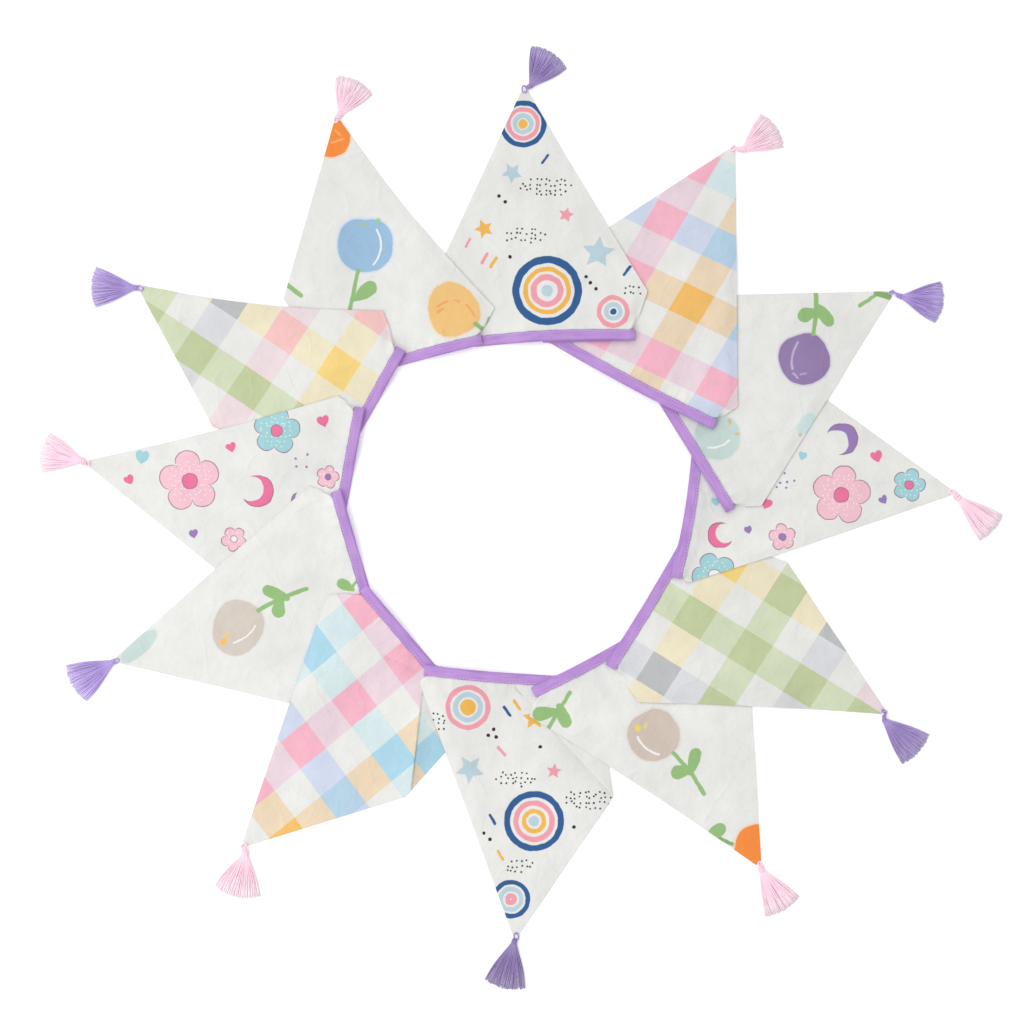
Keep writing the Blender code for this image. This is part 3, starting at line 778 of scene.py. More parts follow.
prints = {
    1: [
        *hoops((27, 224), (navy, 31, 7.5), (mustard, 21.5, 4.5), (rose, 13.5, 6), (aqua, 3, 6)),
        *hoops((93, 203), (rose, 14, 4.6), (aqua, 7, 4.5), (navy, 1.6, 3.2)),
        *hoops((3, 391), (navy, 21, 5), (rose, 14.5, 4.4), (aqua, 8.2, 4.4), (mustard, 2.4, 4.8)),
        star(aqua, (78, 262), 17, 12), star(mustard, (-36, 286), 10, 40), star(rose, (46, 300), 8, 5),
        star(aqua, (-8, 342), 11, 50),
        stroke(navy, (104, 240), (110, 248), 3.0), stroke(rose, (-38, 252), (-33, 261), 3.0),
        stroke(mustard, (-29, 248), (-24, 257), 3.0), stroke(navy, (22, 352), (28, 360), 2.6),
        stroke(rose, (-54, 268), (-50, 276), 2.6),
        dots(black, (26, 328), (52, 20)), dots(black, (4, 279), (46, 15)), dots(black, (112, 224), (20, 14)),
        *spots(black, (70, 232), (76, 226), (66, 238), (-10, 258), (-15, 313), (-21, 319)),
    ],
    7: [
        *hoops((-52, -192), (rose, 20, 5), (aqua, 12.5, 5), (mustard, 4, 8)),
        *hoops((14, -306), (navy, 27, 6.2), (rose, 18.2, 5.2), (mustard, 10, 4.5), (aqua, 2.6, 5.2)),
        *hoops((-9, -384), (navy, 17, 4.6), (aqua, 10.4, 4.6), (rose, 3.4, 5)),
        star(mustard, (14, -203), 12, 20), star(aqua, (-50, -254), 15, 50), star(rose, (34, -256), 8, 10),
        stroke(navy, (-16, -192), (-10, -200), 3.2), stroke(mustard, (-6, -186), (0, -194), 3.2),
        stroke(rose, (-22, -232), (-15, -240), 3.0), stroke(navy, (-30, -300), (-25, -309), 2.8),
        stroke(mustard, (-22, -336), (-17, -344), 2.8),
        dots(black, (68, -284), (46, 24)), dots(black, (-4, -264), (44, 17)),
        dots(black, (-84, -208), (22, 24)),
        dots(black, (0, -351), (30, 14)),
        *spots(black, (-26, -214), (-32, -220), (-24, -222), (-36, -318), (-30, -324), (54, -312), (20, -232)),
    ],
    3: [
        *tulip(ink(148, 126, 171), ink(216, 209, 222), (284, 156.1), (50.2, 51.2), 20.0, 0.05),
        arc(ink(190, 176, 206), (305.5, 152.5), 34, 2.2, 168, 25),
        stroke(ink(190, 174, 208), (273, 141), (277, 137), 2.2, soft=1.5),
        stroke(ink(186, 168, 205), (280, 140.5), (285, 141.5), 1.6, soft=1.5),
        stroke(leafGreen, (293.3, 181), (296.2, 202), 4.3),
        stroke(leafGreen, (296.2, 202), (295.8, 224), 4.6),
        stroke(leafGreen, (296, 204), (284.8, 199.8), 5, 1.5, 14.5),
        stroke(leafGreen, (296.7, 209), (309, 193.5), 6, 4, 10.5),
        *tulip(mint, ink(219, 227, 223), (197, 78), (45, 45)),
        arc(white, (191, 91), 24, 1.8, -70, 30),
        oval(sand, (209.6, 93.2), (4, 5.5), 20, soft=1.6),
        oval(sand, (217, 80.8), (4, 3), soft=1.6),
        oval(ink(205, 226, 228), (286, 91), (13, 25), -35),
        oval(ink(215, 195, 150), (280, 80), (3, 4), soft=1.5),
        stroke(leafGreen, (339.8, 209.3), (357.2, 220.9), 3.8),
        stroke(darkGreen, (355.5, 222), (371, 218), 5, 0, 7.5),
    ],
    6: [
        *tulip(ink(209, 194, 182), ink(228, 222, 217), (133.5, -219.9), (51.4, 50.6), 30, 0.04),
        oval(ink(240, 218, 92), (117.7, -212.9), (5.5, 7.5), soft=2.0),
        oval(ink(226, 212, 150), (125.2, -210.4), (4, 7), soft=2.0),
        arc(white, (145, -210.5), 29.6, 2.0, 230, 29),
        stroke(leafGreen, (153.4, -237.8), (172, -259), 4.2),
        stroke(leafGreen, (172, -259), (184, -279), 4.2),
        stroke(leafGreen, (170, -258), (175.6, -238.5), 5, 2.5, 11.5),
        stroke(leafGreen, (171, -254), (157.8, -257.3), 6, 1, 14),
        stroke(leafGreen, (29, -212), (49.8, -177.2), 4.0),
        stroke(leafGreen, (36, -196), (19.5, -198.8), 6, 2, 14),
        stroke(leafGreen, (39, -191), (46, -207), 6, 3, 11.5),
        stroke(leafGreen, (186, -327), (200, -313.5), 6, 4, 12),
        stroke(darkGreen, (200, -323.5), (214, -329.8), 3.5),
        *tulip(orange, ink(242, 214, 190), (239.7, -334), (50, 50)),
    ],
    9: [
        *tulip(ink(212, 202, 191), ink(230, 227, 220), (-282.3, -113), (49, 56), -24, egg=0.2),
        oval(ink(249, 192, 98), (-296.4, -126.5), (7, 6.5), soft=1.8),
        oval(ink(249, 200, 120), (-293, -120.5), (4.5, 5.5), soft=1.8),
        arc(white, (-294.5, -94.5), 34.2, 1.6, -52.7, 25),
        stroke(leafGreen, (-261.6, -95.2), (-240, -83.5), 4.2),
        stroke(leafGreen, (-240, -83.5), (-213.5, -73.6), 4.2),
        stroke(leafGreen, (-233, -83), (-251.5, -75.5), 6, 3, 11.5),
        stroke(leafGreen, (-240, -82), (-241.4, -96), 6, 1, 13.5),
        stroke(leafGreen, (-167, -74.5), (-178, -68.5), 4, 2, 10.5),
        stroke(leafGreen, (-168.7, -72.8), (-161, -64), 3),
        oval(mint, (-381, -131.5), (46, 17), 42, soft=1.2),
    ],
    12: [
        *tulip(ink(155, 190, 220), ink(208, 222, 236), (-154.6, 270.3), (55, 54.7), 0, 0.10),
        oval(ink(168, 194, 158), (-155.5, 290.2), (6.5, 3.6), soft=1.6),
        oval(ink(152, 204, 160), (-141.7, 294), (5, 5), soft=1.6),
        arc(white, (-168, 270), 29.1, 1.8, -5.5, 38.5),
        stroke(leafGreen, (-161.9, 244.5), (-169.8, 206.7), 4.2),
        stroke(leafGreen, (-166, 214.5), (-150, 227), 3, 3.5, 14.5),
        stroke(leafGreen, (-236, 233), (-219, 219.5), 4.6),
        *tulip(ink(240, 195, 126), ink(238, 220, 194), (-67.2, 205.9), (49.4, 54.4), 24, egg=-0.34),
        arc(apricot, (-67, 191.5), 22.5, 1.7, 118, 16), arc(apricot, (-67, 191.5), 22.5, 1.6, 80, 8),
        arc(apricot, (-67, 191.5), 22.5, 1.6, 36, 20), stroke(apricot, (-82, 202), (-77, 206), 2.4, soft=1.2),
        stroke(leafGreen, (-44.5, 190.4), (-34.2, 183.5), 4.0),
        stroke(leafGreen, (-33, 184), (-28.5, 193.5), 4, 1, 10.5),
        *tulip(orange, ink(242, 216, 194), (-189, 378), (38.5, 40)),
        stroke(ink(255, 176, 112), (-188, 372), (-176, 376), 2.0, soft=1.4),
        stroke(ink(255, 180, 118), (-184, 384), (-179, 379), 1.6, soft=1.4),
    ],
    4: [
        *flower(blush, hotPink, (321, 20), 29, 10), *flower(teal, white, (194, -60), 22, 40),
        *flower(teal, hotPink, (389, 30), 16, 0), *flower(blush, lilac, (262, -22), 13, 25),
        *moon(lilac, (322, 76), 15, -150), *moon(hotPink, (200, -20), 12, 20),
        heart(hotPink, (357, 57), 6, 20), heart(teal, (196, 12), 4.5, 10),
        heart(hotPink, (246, 10), 5.5, -20),
        heart(lilac, (364, 14), 4.5, 35), heart(teal, (282, 58), 4.5, -15), heart(lilac, (228, -16), 4, 15),
        dots(lilac, (262, 36), (26, 22), 8.0, 2.4),
    ],
    10: [
        *flower(blush, hotPink, (-330, 34), 30, 25), *flower(teal, hotPink, (-243, 84), 23, 10),
        *flower(blush, white, (-286, -24), 12, 50), *flower(blush, lilac, (-192, 38), 11, 5),
        *moon(hotPink, (-262, 24), 15, 160), *moon(lilac, (-220, 14), 8, 60),
        heart(hotPink, (-196, 92), 6, 15), heart(teal, (-378, 56), 7, -10), heart(hotPink, (-288, 66), 5, 20),
        heart(hotPink, (-390, 34), 5, 30), heart(teal, (-246, -22), 4.5, 0),
        heart(lilac, (-326, -20), 4.5, 10),
        dots(lilac, (-216, 54), (22, 18), 8.0, 2.4),
    ],
}


clothLook = {
    "sheen": 0.1, "roughness": 0.86, "weaveBump": 0.2, "weaveDepth": 0.0002, "foldBump": 0.9,
    "foldDepth": 0.0026, "rimRise": 2.0, "wobble": 2.2, "wovenWobble": 0.9,
}


def makeClothMaterial(number, clothName):
    material, tree, shader = newMaterial("cloth_%02d_%s" % (number, clothName))
    printPlace = addAttribute(tree, "print", "Vector")
    wobble = clothLook["wovenWobble"] if clothName in checks else clothLook["wobble"]
    place = useGroup(tree, handDrawn, Place=printPlace, Amount=wobble).outputs["Place"]
    if clothName in checks:
        pitch = checks[clothName]["places"][number]["pitch"]
        colour = useGroup(tree, checkGroups[clothName], Place=place, Pitch=(*pitch, 1)).outputs["Colour"]
    else:
        colour = clothGround
        for kind, values in prints[number]:
            node = useGroup(tree, shapeGroups[kind], Place=place, **values)
            connect(tree, colour, node.inputs["Under"])
            colour = node.outputs["Colour"]
    weave = useGroup(tree, weaveDetail, Place=printPlace)
    folds = useGroup(tree, foldDetail, Place=printPlace, Seam=addAttribute(tree, "seam", "Vector"))
    rim = useGroup(tree, rimDetail, Rim=addAttribute(tree, "rim"))
    # the cloth's colour is multiplied by the weave's own tone and by painted shade along the rim, over the
    # crumples, bulges and puckers, and beside the folds
    shade = times(tree, weave.outputs["Shade"], rim.outputs["Shade"])
    shade = times(tree, shade, folds.outputs["Shade"])
    shade = times(tree, shade, minus(tree, 1.0, addAttribute(tree, "paintedFoldShade")))
    tree.links.new(addShade(tree, colour, shade), shader.inputs["Base Color"])
    rough = clothLook["roughness"]
    rough = addRange(tree, folds.outputs["Crumple"], 0.3, 0.7, rough - 0.05, rough + 0.05)
    tree.links.new(rough, shader.inputs["Roughness"])
    setInputs(shader, Sheen_Weight=clothLook["sheen"], Sheen_Roughness=0.5, Specular_IOR_Level=0.25)
    foldBump = addBump(tree, folds.outputs["Height"], clothLook["foldBump"], clothLook["foldDepth"])
    height = timesPlus(tree, rim.outputs["Height"], clothLook["rimRise"], weave.outputs["Height"])
    normal = addBump(tree, height, clothLook["weaveBump"], clothLook["weaveDepth"], foldBump)
    tree.links.new(normal, shader.inputs["Normal"])
    return material


# making pieces


def finishPiece(builder, name, material):
    mesh = bpy.data.meshes.new(name)
    for edge in builder.edges:
        edge.smooth = not edge.is_boundary
    builder.normal_update()
    builder.to_mesh(mesh)
    builder.free()
    mesh.shade_smooth()
    mesh.materials.append(material)
    piece = newObject(name, mesh)
    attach(piece, "root")
    return piece


def thicken(piece, thickness):
    solid = piece.modifiers.new("thickness", "SOLIDIFY")
    solid.thickness = thickness * mm
    solid.offset = 0.0
    solid.use_even_offset = False
    return solid


# Creases laid one by one. rise is the height of a ridge, or less than nothing for a trough; a step lifts the
# cloth on the left of its line and lets it drop sharply to the right.
# the shade entries of a row are painted shade, darkening the cloth on the low side of its fold and fading over
# their width
creaseRows = {
    1: [
        dict(start=(99, 275), end=(41, 215), rise=0.30, width=3.2),
        dict(start=(77, 240), end=(55, 218), rise=-0.22, width=3.0),
        dict(start=(52, 252), end=(88, 262), rise=0.25, width=5.0),
        dict(start=(-20, 330), end=(40, 345), rise=0.25, width=9.0),
        dict(start=(-60, 250), end=(10, 262), rise=0.3, width=10.0),
    ],
    2: [
        dict(start=(150, 150), end=(186, 330), rise=0.35, width=11.0),
        dict(start=(120, 210), end=(160, 290), rise=0.3, width=8.0),
        dict(start=(180, 128), end=(200, 200), rise=0.25, width=7.0),
        dict(start=(101, 169), end=(108, 180), rise=0.25, width=2.2),
    ],
    3: [
        dict(start=(232, 214), end=(226, 120), rise=0.35, width=7.0),
        dict(start=(256, 205), end=(250, 90), rise=0.4, width=12.0),
        dict(start=(300, 120), end=(330, 205), rise=0.3, width=9.0),
        dict(start=(225, 60), end=(300, 150), rise=0.25, width=10.0),
    ],
    4: [
        dict(start=(180, 20), end=(206, 10), rise=0.3, width=2.6),
        dict(start=(176, -6), end=(205, -8), rise=0.25, width=3.0),
        dict(start=(172, -30), end=(208, -26), rise=0.3, width=3.4),
        dict(start=(240, -8), end=(330, 0), rise=0.35, width=9.0),
        dict(start=(260, 40), end=(380, 30), rise=0.3, width=11.0),
    ],
    5: [
        dict(start=(131, -92), end=(150, -100), rise=0.35, width=2.4),
        dict(start=(124, -104), end=(142, -114), rise=0.3, width=2.2),
        dict(start=(114, -122), end=(134, -134), rise=0.3, width=2.6),
        dict(start=(150, -66), end=(178, -78), rise=0.3, width=3.6),
        dict(start=(200, -80), end=(300, -170), rise=0.35, width=12.0),
        dict(start=(180, -150), end=(280, -186), rise=0.3, width=9.0),
    ],
    6: [
        dict(start=(72, -165), end=(88, -186), rise=0.3, width=4.0),
        dict(start=(54, -172), end=(66, -192), rise=0.25, width=3.6),
        dict(start=(100, -170), end=(180, -300), rise=0.35, width=12.0),
        dict(start=(190, -200), end=(222, -320), rise=0.3, width=9.0),
    ],
    7: [
        dict(start=(97, -284), end=(30, -211), rise=1.1, width=9.0, step=True, paintedFoldShade=0.12, paintedFoldShadeWidth=8.0),
        dict(start=(-60, -175), end=(-66, -195), rise=0.3, width=3.4),
        dict(start=(10, -178), end=(16, -200), rise=0.3, width=4.5),
        dict(start=(-60, -230), end=(-10, -380), rise=0.35, width=12.0),
        dict(start=(20, -240), end=(10, -340), rise=0.3, width=10.0),
    ],
    8: [
        dict(start=(-96.5, -164), end=(-110.5, -286), rise=1.3, width=12.0, step=True, paintedFoldShade=0.13,
             paintedFoldShadeWidth=30.0, slip=(37, 2)),
        dict(start=(-108, -137), end=(-132, -152), rise=-0.4, width=3.0),
        dict(start=(-98, -157), end=(-141, -137), rise=-0.35, width=4.0, paintedFoldShade=0.1, paintedFoldShadeWidth=11.0),
        dict(start=(-112, -144), end=(-150, -176), rise=0.4, width=6.0),
        dict(start=(-170, -120), end=(-215, -260), rise=0.35, width=12.0),
        dict(start=(-140, -220), end=(-190, -300), rise=0.3, width=10.0),
    ],
    9: [
        dict(start=(-172, -62), end=(-204, -100), rise=0.4, width=4.4),
        dict(start=(-196, -76), end=(-212, -134), rise=0.35, width=6.5),
        dict(start=(-200, -10), end=(-280, -60), rise=0.3, width=9.0),
        dict(start=(-240, -140), end=(-340, -140), rise=0.35, width=11.0),
    ],
    10: [
        dict(start=(-190, 60), end=(-226, 30), rise=0.3, width=5.0),
        dict(start=(-220, 70), end=(-330, 30), rise=0.35, width=11.0),
        dict(start=(-290, -20), end=(-360, 30), rise=0.3, width=9.0),
    ],
    11: [
        dict(start=(-160, 128), end=(-185, 138), rise=0.3, width=3.0),
        dict(start=(-150, 150), end=(-172, 164), rise=0.3, width=3.4),
        dict(start=(-290, 106), end=(-310, 96), rise=0.45, width=6.0),
        dict(start=(-200, 120), end=(-320, 200), rise=0.35, width=12.0),
        dict(start=(-170, 190), end=(-260, 190), rise=0.3, width=8.0),
    ],
    12: [
        dict(start=(-60, 176), end=(-66, 196), rise=0.25, width=3.0),
        dict(start=(-214, 236), end=(-196, 290), rise=0.35, width=7.0),
        dict(start=(-120, 190), end=(-130, 300), rise=0.35, width=11.0),
        dict(start=(-190, 210), end=(-178, 330), rise=0.3, width=10.0),
    ],
}


# height added by one crease at a point, fading out towards its ends
def creaseLift(crease, point):
    start, end = Vector(crease["start"]), Vector(crease["end"])
    share, distance = nearest(point, start, end)
    fade = min(1.0, 0.15 + 4.2 * share * (1 - share)) if 0 < share < 1 else 0.15
    if crease.get("step"):
        offset = (point - start).dot(leftOf((end - start).normalized()))
        if share in (0.0, 1.0):
            fade = 0.0
        lift = math.exp(-max(0.0, -offset) / crease["width"]) if offset < 0 else max(0.0, 1 - offset / 0.9)
        return crease["rise"] * fade * lift
    uneven = 1 + 0.3 * math.sin(share * 7.3 + start.x)
    return crease["rise"] * 1.6 * uneven * fade * math.exp(-(distance / crease["width"]) ** 2)


# painted shade: how much darker the cloth is painted on the low side of a sharp fold
def paintedFoldShadeAt(crease, point):
    if "paintedFoldShade" not in crease:
        return 0.0
    start, end = Vector(crease["start"]), Vector(crease["end"])
    offset = (point - start).dot(leftOf((end - start).normalized()))
    share = nearest(point, start, end)[0]
    ends = smooth(share / 0.12) * smooth((1 - share) / 0.12)
    return crease["paintedFoldShade"] * ends * math.exp(-offset / crease["paintedFoldShadeWidth"]) if offset > 0.4 else 0.0


# places on a pennant: across is 0 at the tucked side and 1 at the wide side, distance goes to the tip
def clothPlan(plan):
    sizes, row = clothSizes, plan.row
    half = tapeSizes["width"] / 2 + tapeSizes["gap"]
    axis = (Vector(row["tip"]) - (plan.start + plan.end) / 2).normalized()
    tipSide = leftOf(axis) * (sizes["tipWidth"] / 2)
    tipLeft, tipRight = Vector(row["tip"]) + tipSide, Vector(row["tip"]) - tipSide
    tucked = plan.start - plan.beforeRun * tapeSizes["tuckIn"]
    tuckedLength = tapeSizes["tuckIn"]
    whole = tuckedLength + plan.length
    firstEdge = tucked + plan.beforeSide * half
    lastMiddle, lastSide, _ = tapeStation(plan, plan.length)
    lastEdge = lastMiddle + lastSide * half
    foldReach = plan.run * 4.2

    def edgePoint(across, offset):
        place = across * whole - tuckedLength
        if place < 0:
            middle = tucked.lerp(plan.start, 1 + place / tuckedLength)
            return middle + plan.beforeSide.lerp(plan.corner, 1 + place / tuckedLength) * offset
        middle, facing, _ = tapeStation(plan, place)
        return middle + facing * offset

    def leftAt(distance):
        halfRow = sizes["tuckRow"] / 2
        if distance < halfRow:
            return along(firstEdge, row["inner"], distance / halfRow)
        if distance < sizes["tuckRow"]:
            return along(row["inner"], row["tuck"], distance / halfRow - 1)
        return along(row["tuck"], tipLeft, (distance - sizes["tuckRow"]) / (sizes["tipRow"] - sizes["tuckRow"]))

    def rightAt(distance):
        if distance < sizes["wideRow"]:
            reach = foldReach * smooth(distance / 3.2) * (1 - distance / sizes["wideRow"])
            return along(lastEdge, row["wide"], distance / sizes["wideRow"]) + reach
        share = (distance - sizes["wideRow"]) / (sizes["tipRow"] - sizes["wideRow"])
        outwards = -leftOf((tipRight - Vector(row["wide"])).normalized())
        return along(row["wide"], tipRight, share) + outwards * row["bend"] * math.sin(math.pi * share)

    def place(across, distance):
        if distance <= 0:
            return edgePoint(across, half + distance)
        straight = firstEdge.lerp(lastEdge, across)
        bend = edgePoint(across, half) - straight
        return leftAt(distance).lerp(rightAt(distance), across) + bend * (1 - distance / sizes["tipRow"])

    rimPoints = [leftAt(sizes["tipRow"] * step / 14) for step in range(15)]
    rimPoints += [rightAt(sizes["tipRow"] * step / 20) for step in reversed(range(21))]
    return place, rimPoints


# where a point is on its printed cloth
def printPlace(plan, point):
    cloth = plan.row["cloth"]
    if cloth not in checks:
        return Vector((point.x, point.y, 0))
    spot = checks[cloth]["places"][plan.number + 1]
    for crease in creaseRows[plan.number + 1]:
        start, end = Vector(crease["start"]), Vector(crease["end"])
        if "slip" in crease and (point - start).dot(leftOf((end - start).normalized())) > 0.4:
            point = point - Vector(crease["slip"])
    offset = point - plan.start
    local = Vector((offset.dot(plan.run), offset.dot(plan.side)))
    x, y = Matrix.Rotation(-math.radians(spot["tilt"]), 2) @ local
    x += spot["shear"] * y + spot["bend"] * (y / 100) ** 2
    flip = -1 if spot["turned"] else 1
    return Vector((x - spot["origin"][0], y - spot["origin"][1], 0)) * flip


def makePennant(plan):
    sizes = clothSizes
    number = plan.number + 1
    node = "pennant_%02d" % number
    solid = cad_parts[node]
    corners = [vert.co for vert in solid.data.vertices]
    tree = BVHTree.FromPolygons(corners, [face.vertices for face in solid.data.polygons])
    place, rimPoints = clothPlan(plan)

    builder = bmesh.new()
    bmesh.ops.create_grid(builder, x_segments=sizes["columns"], y_segments=sizes["rows"], size=0.5)
    rimLayer = builder.verts.layers.float.new("rim")
    paintedFoldShadeLayer = builder.verts.layers.float.new("paintedFoldShade")
    printLayer = builder.verts.layers.float_vector.new("print")
    seamLayer = builder.verts.layers.float_vector.new("seam")
    slotVerts = set()
    for vert in builder.verts:
        across = vert.co.x + 0.5
        across = mix(across, 0.5 - 0.5 * math.cos(math.pi * across), sizes["closer"])
        distance = mix(sizes["slotRow"], sizes["tipRow"], vert.co.y + 0.5)
        point = place(across, distance)
        if distance < sizes["heldRow"]:
            slotVerts.add(vert)
        vert.co = (point.x, point.y, 0)

    # fold lines get their own edges, so that a step is sharp
    for crease in creaseRows[number]:
        if crease.get("step"):
            start, end = Vector(crease["start"]), Vector(crease["end"])
            across = leftOf((end - start).normalized())
            for shift in (-0.1, 0.9):
                spot = start + across * shift
                bmesh.ops.bisect_plane(
                    builder, geom=builder.verts[:] + builder.edges[:] + builder.faces[:], dist=0.00001,
                    plane_co=(spot.x, spot.y, 0), plane_no=(across.x, across.y, 0))

    centre = sum((Vector(point) for point in rimPoints), Vector((0, 0))) / len(rimPoints)
    for vert in builder.verts:
        point = Vector((vert.co.x, vert.co.y))
        inner = point + (centre - point).normalized() * sizes["castInset"]
        hit = tree.ray_cast(toFrame(inner, sizes["castHeight"]), Vector((0, 0, -1)))[0]
        height = (hit.z / mm - sizes["solidThick"] / 2) if hit else sizes["floor"]
        vert[rimLayer] = min(nearest(point, a, b)[1] for a, b in zip(rimPoints, rimPoints[1:]))
        vert[printLayer] = printPlace(plan, point)
        # painted shade beside the folds
        vert[paintedFoldShadeLayer] = sum(paintedFoldShadeAt(crease, point) for crease in creaseRows[number])
        offset = point - plan.start
        vert[seamLayer] = (plan.run.dot(offset), plan.side.dot(offset) - tapeSizes["width"] / 2, number * 3.7)
        vert.co.z = height
    free = [vert for vert in builder.verts if vert not in slotVerts]
    for _ in range(sizes["smoothings"]):
        bmesh.ops.smooth_vert(builder, verts=free, factor=0.5, use_axis_x=False, use_axis_y=False,
                              use_axis_z=True)

    seed = number * 1.7
    above = outlineOf(plan.number - 1)
    for vert in builder.verts:
        point = Vector((vert.co.x, vert.co.y))
        calm = smooth((plan.side.dot(point - plan.start) - sizes["calmFrom"]) / sizes["calmReach"])
        calm *= mix(sizes["calmUnder"], 1.0, smooth(distanceOutside(point, above) / 9))
        wave = 0.0
        for index, (size, xRate, yRate) in enumerate(sizes["waves"]):
            wave += size * noise.noise(Vector((point.x * xRate, point.y * yRate, seed + 9 * index)))
        lift = sizes["ripple"] * max(0.0, 0.3 + 0.45 * wave)
        lift += sum(creaseLift(crease, point) for crease in creaseRows[number])
        onward, away, _ = vert[seamLayer]
        pull = noise.noise(Vector((onward * 0.11, away * 0.03, number * 3.1)))
        lift += sizes["pucker"] * pull * math.exp(-max(0.0, away) / sizes["puckerReach"])
        # the edge sinks onto what it lies on
        lift -= sizes["droop"] * (1 - smooth(vert[rimLayer] / sizes["droopReach"]))
        lift -= max(0.0, vert.co.z - sizes["edgeRest"]) * (1 - smooth(vert[rimLayer] / sizes["edgeFall"]))
        vert.co.z = max(sizes["floor"], vert.co.z + lift * calm)
    for vert in builder.verts:
        vert.co = toFrame(vert.co, vert.co.z)
    bmesh.ops.recalc_face_normals(builder, faces=builder.faces[:])
    if builder.faces[0].normal.z < 0:
        bmesh.ops.reverse_faces(builder, faces=builder.faces[:])

    cloth = plan.row["cloth"]
    piece = finishPiece(builder, "cloth_%02d" % number, makeClothMaterial(number, cloth))
    thicken(piece, sizes["thick"])
    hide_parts(node)
    return piece


pennants = [makePennant(plan) for plan in layouts]
print("pennants laid")


# binding tape

# light and shade are painted lit and shaded copies of the tape's purple
tapeLook = {
    "colour": ink(187, 142, 214), "light": ink(200, 160, 222), "shade": ink(166, 120, 198),
    "thread": ink(232, 216, 242), "sheen": 0.35, "stitchPitch": 3.3, "stitchLength": 2.4, "stitchRadius": 0.2,
    "stitchInset": 1.25,
}


def makeTapeMaterial():
    material, tree, shader = newMaterial("tapeCloth")
    route = addAttribute(tree, "tapePlace", "Vector")
    weave = useGroup(tree, weaveDetail, Place=route, Pitch=0.7)
    y = separate(tree, route)[1]
    # the streaks are painted sheen laid at random along the tape, and the slow noise is the tape's own uneven
    # tone
    streak = addNoise(tree, route, 1.0, 3.0, 0.6, (0.05, 0.9, 1.0))
    long = addNoise(tree, route, 0.035, 2.0)
    # painted shade: the tape is darker towards its folded edges
    edge = addRange(tree, addMath(tree, "ABSOLUTE", y), 3.0, 5.4, 0.0, 1.0)
    tone = minus(tree, timesPlus(tree, long, 0.55, streak), times(tree, edge, 0.22))
    colour = addRamp(tree, addRange(tree, tone, 0.45, 1.05, 0.0, 1.0),
                     [(0.0, tapeLook["shade"]), (0.5, tapeLook["colour"]), (1.0, tapeLook["light"])])
    tree.links.new(addShade(tree, colour, weave.outputs["Shade"]), shader.inputs["Base Color"])
    tree.links.new(addRange(tree, streak, 0.3, 0.7, 0.5, 0.64), shader.inputs["Roughness"])
    setInputs(shader, Sheen_Weight=tapeLook["sheen"], Sheen_Roughness=0.4)
    height = timesPlus(tree, streak, 1.5, weave.outputs["Height"])
    tree.links.new(addBump(tree, height, 0.3, 0.0003), shader.inputs["Normal"])
    return material


def threadMaterial(name, colour):
    material, tree, shader = newMaterial(name)
    coords = tree.nodes.new("ShaderNodeTexCoord")
    tone = addNoise(tree, coords.outputs["Object"], 900.0, 2.0)
    dark = tuple(value * 0.86 for value in colour[:3]) + (1.0,)
    tree.links.new(addMix(tree, tone, dark, colour), shader.inputs["Base Color"])
    setInputs(shader, Roughness=0.6)
    return material


# stations along the whole route: the middle, the cloth side, the way its upper face looks, and the thickness
def tapeRoute():
    sizes = tapeSizes
    bare, thick = sizes["bareThick"], sizes["thick"]
    middleHeight = thick + sizes["gap"] + bare / 2
    up = Vector((0, 0, 1))
    route = []

    def add(point, side, height, normal, thickness, tucked=0.0):
        route.append((Vector((point.x, point.y, height)), side.to_3d(), normal, thickness, tucked))

    def fold(plan, point, forward, side, top, sign):
        for step in range(1, sizes["foldSteps"]):
            angle = math.pi * step / sizes["foldSteps"]
            offset = forward.to_3d() * math.sin(angle) + up * math.cos(angle)
            centre = Vector((point.x, point.y, top - plan.foldRadius)) + offset * plan.foldRadius
            route.append((centre, side.to_3d(), offset * sign, bare, 1.0 if sign < 0 else 0.0))

    for plan in layouts:
        foldStart = plan.start - plan.beforeRun * (sizes["tuckIn"] + sizes["taper"])
        if plan.number:
            add(foldStart, plan.beforeSide, middleHeight, -up, bare, 1.0)
            fold(plan, foldStart, -plan.beforeRun, plan.beforeSide, middleHeight, -1)
        add(foldStart, plan.beforeSide, thick - bare / 2, up, bare, 1.0)
        add(plan.start - plan.beforeRun * sizes["tuckIn"], plan.beforeSide, plan.low, up, thick, 1.0)
        steps = sizes["stretchSteps"]
        for step in range(steps + 1):
            point, facing, height = tapeStation(plan, plan.length * step / steps)
            add(point, facing, height, up, thick)
        foldEnd = plan.start + plan.run * (plan.length + sizes["taper"])
        top = plan.high - thick / 2 + bare / 2
        add(foldEnd, plan.side, top, up, bare)
        if plan.number < len(layouts) - 1:
            fold(plan, foldEnd, plan.run, plan.side, top, 1)
            add(foldEnd, plan.side, middleHeight, -up, bare)
    return route


# the folded strip in cross-section: under wall, rounded fold, upper wall
def sectionPoint(share, thickness, route):
    half = tapeSizes["width"] / 2
    rise = (thickness - tapeSizes["wall"]) / 2
    waver = tapeSizes["waver"] * (math.sin(route * 0.31) + 0.6 * math.sin(route * 0.83 + 2))
    straight = 2 * half - rise
    if share < 0.38:
        return half - 0.2 - straight * share / 0.38 * 0.99, -rise
    if share < 0.62:
        angle = math.pi * (share - 0.38) / 0.24
        return -half + rise - rise * math.sin(angle), -rise * math.cos(angle)
    across = -half + rise + straight * (share - 0.62) / 0.38
    pressed = math.exp(-((across - half + 1.3) / 0.8) ** 2) * 0.16
    puff = 0.06 * math.sin(route * 0.47) * math.exp(-((across - 1) / 3) ** 2)
    return across + waver * (share - 0.62) / 0.38 * 0.9, rise - pressed + min(0.0, puff)


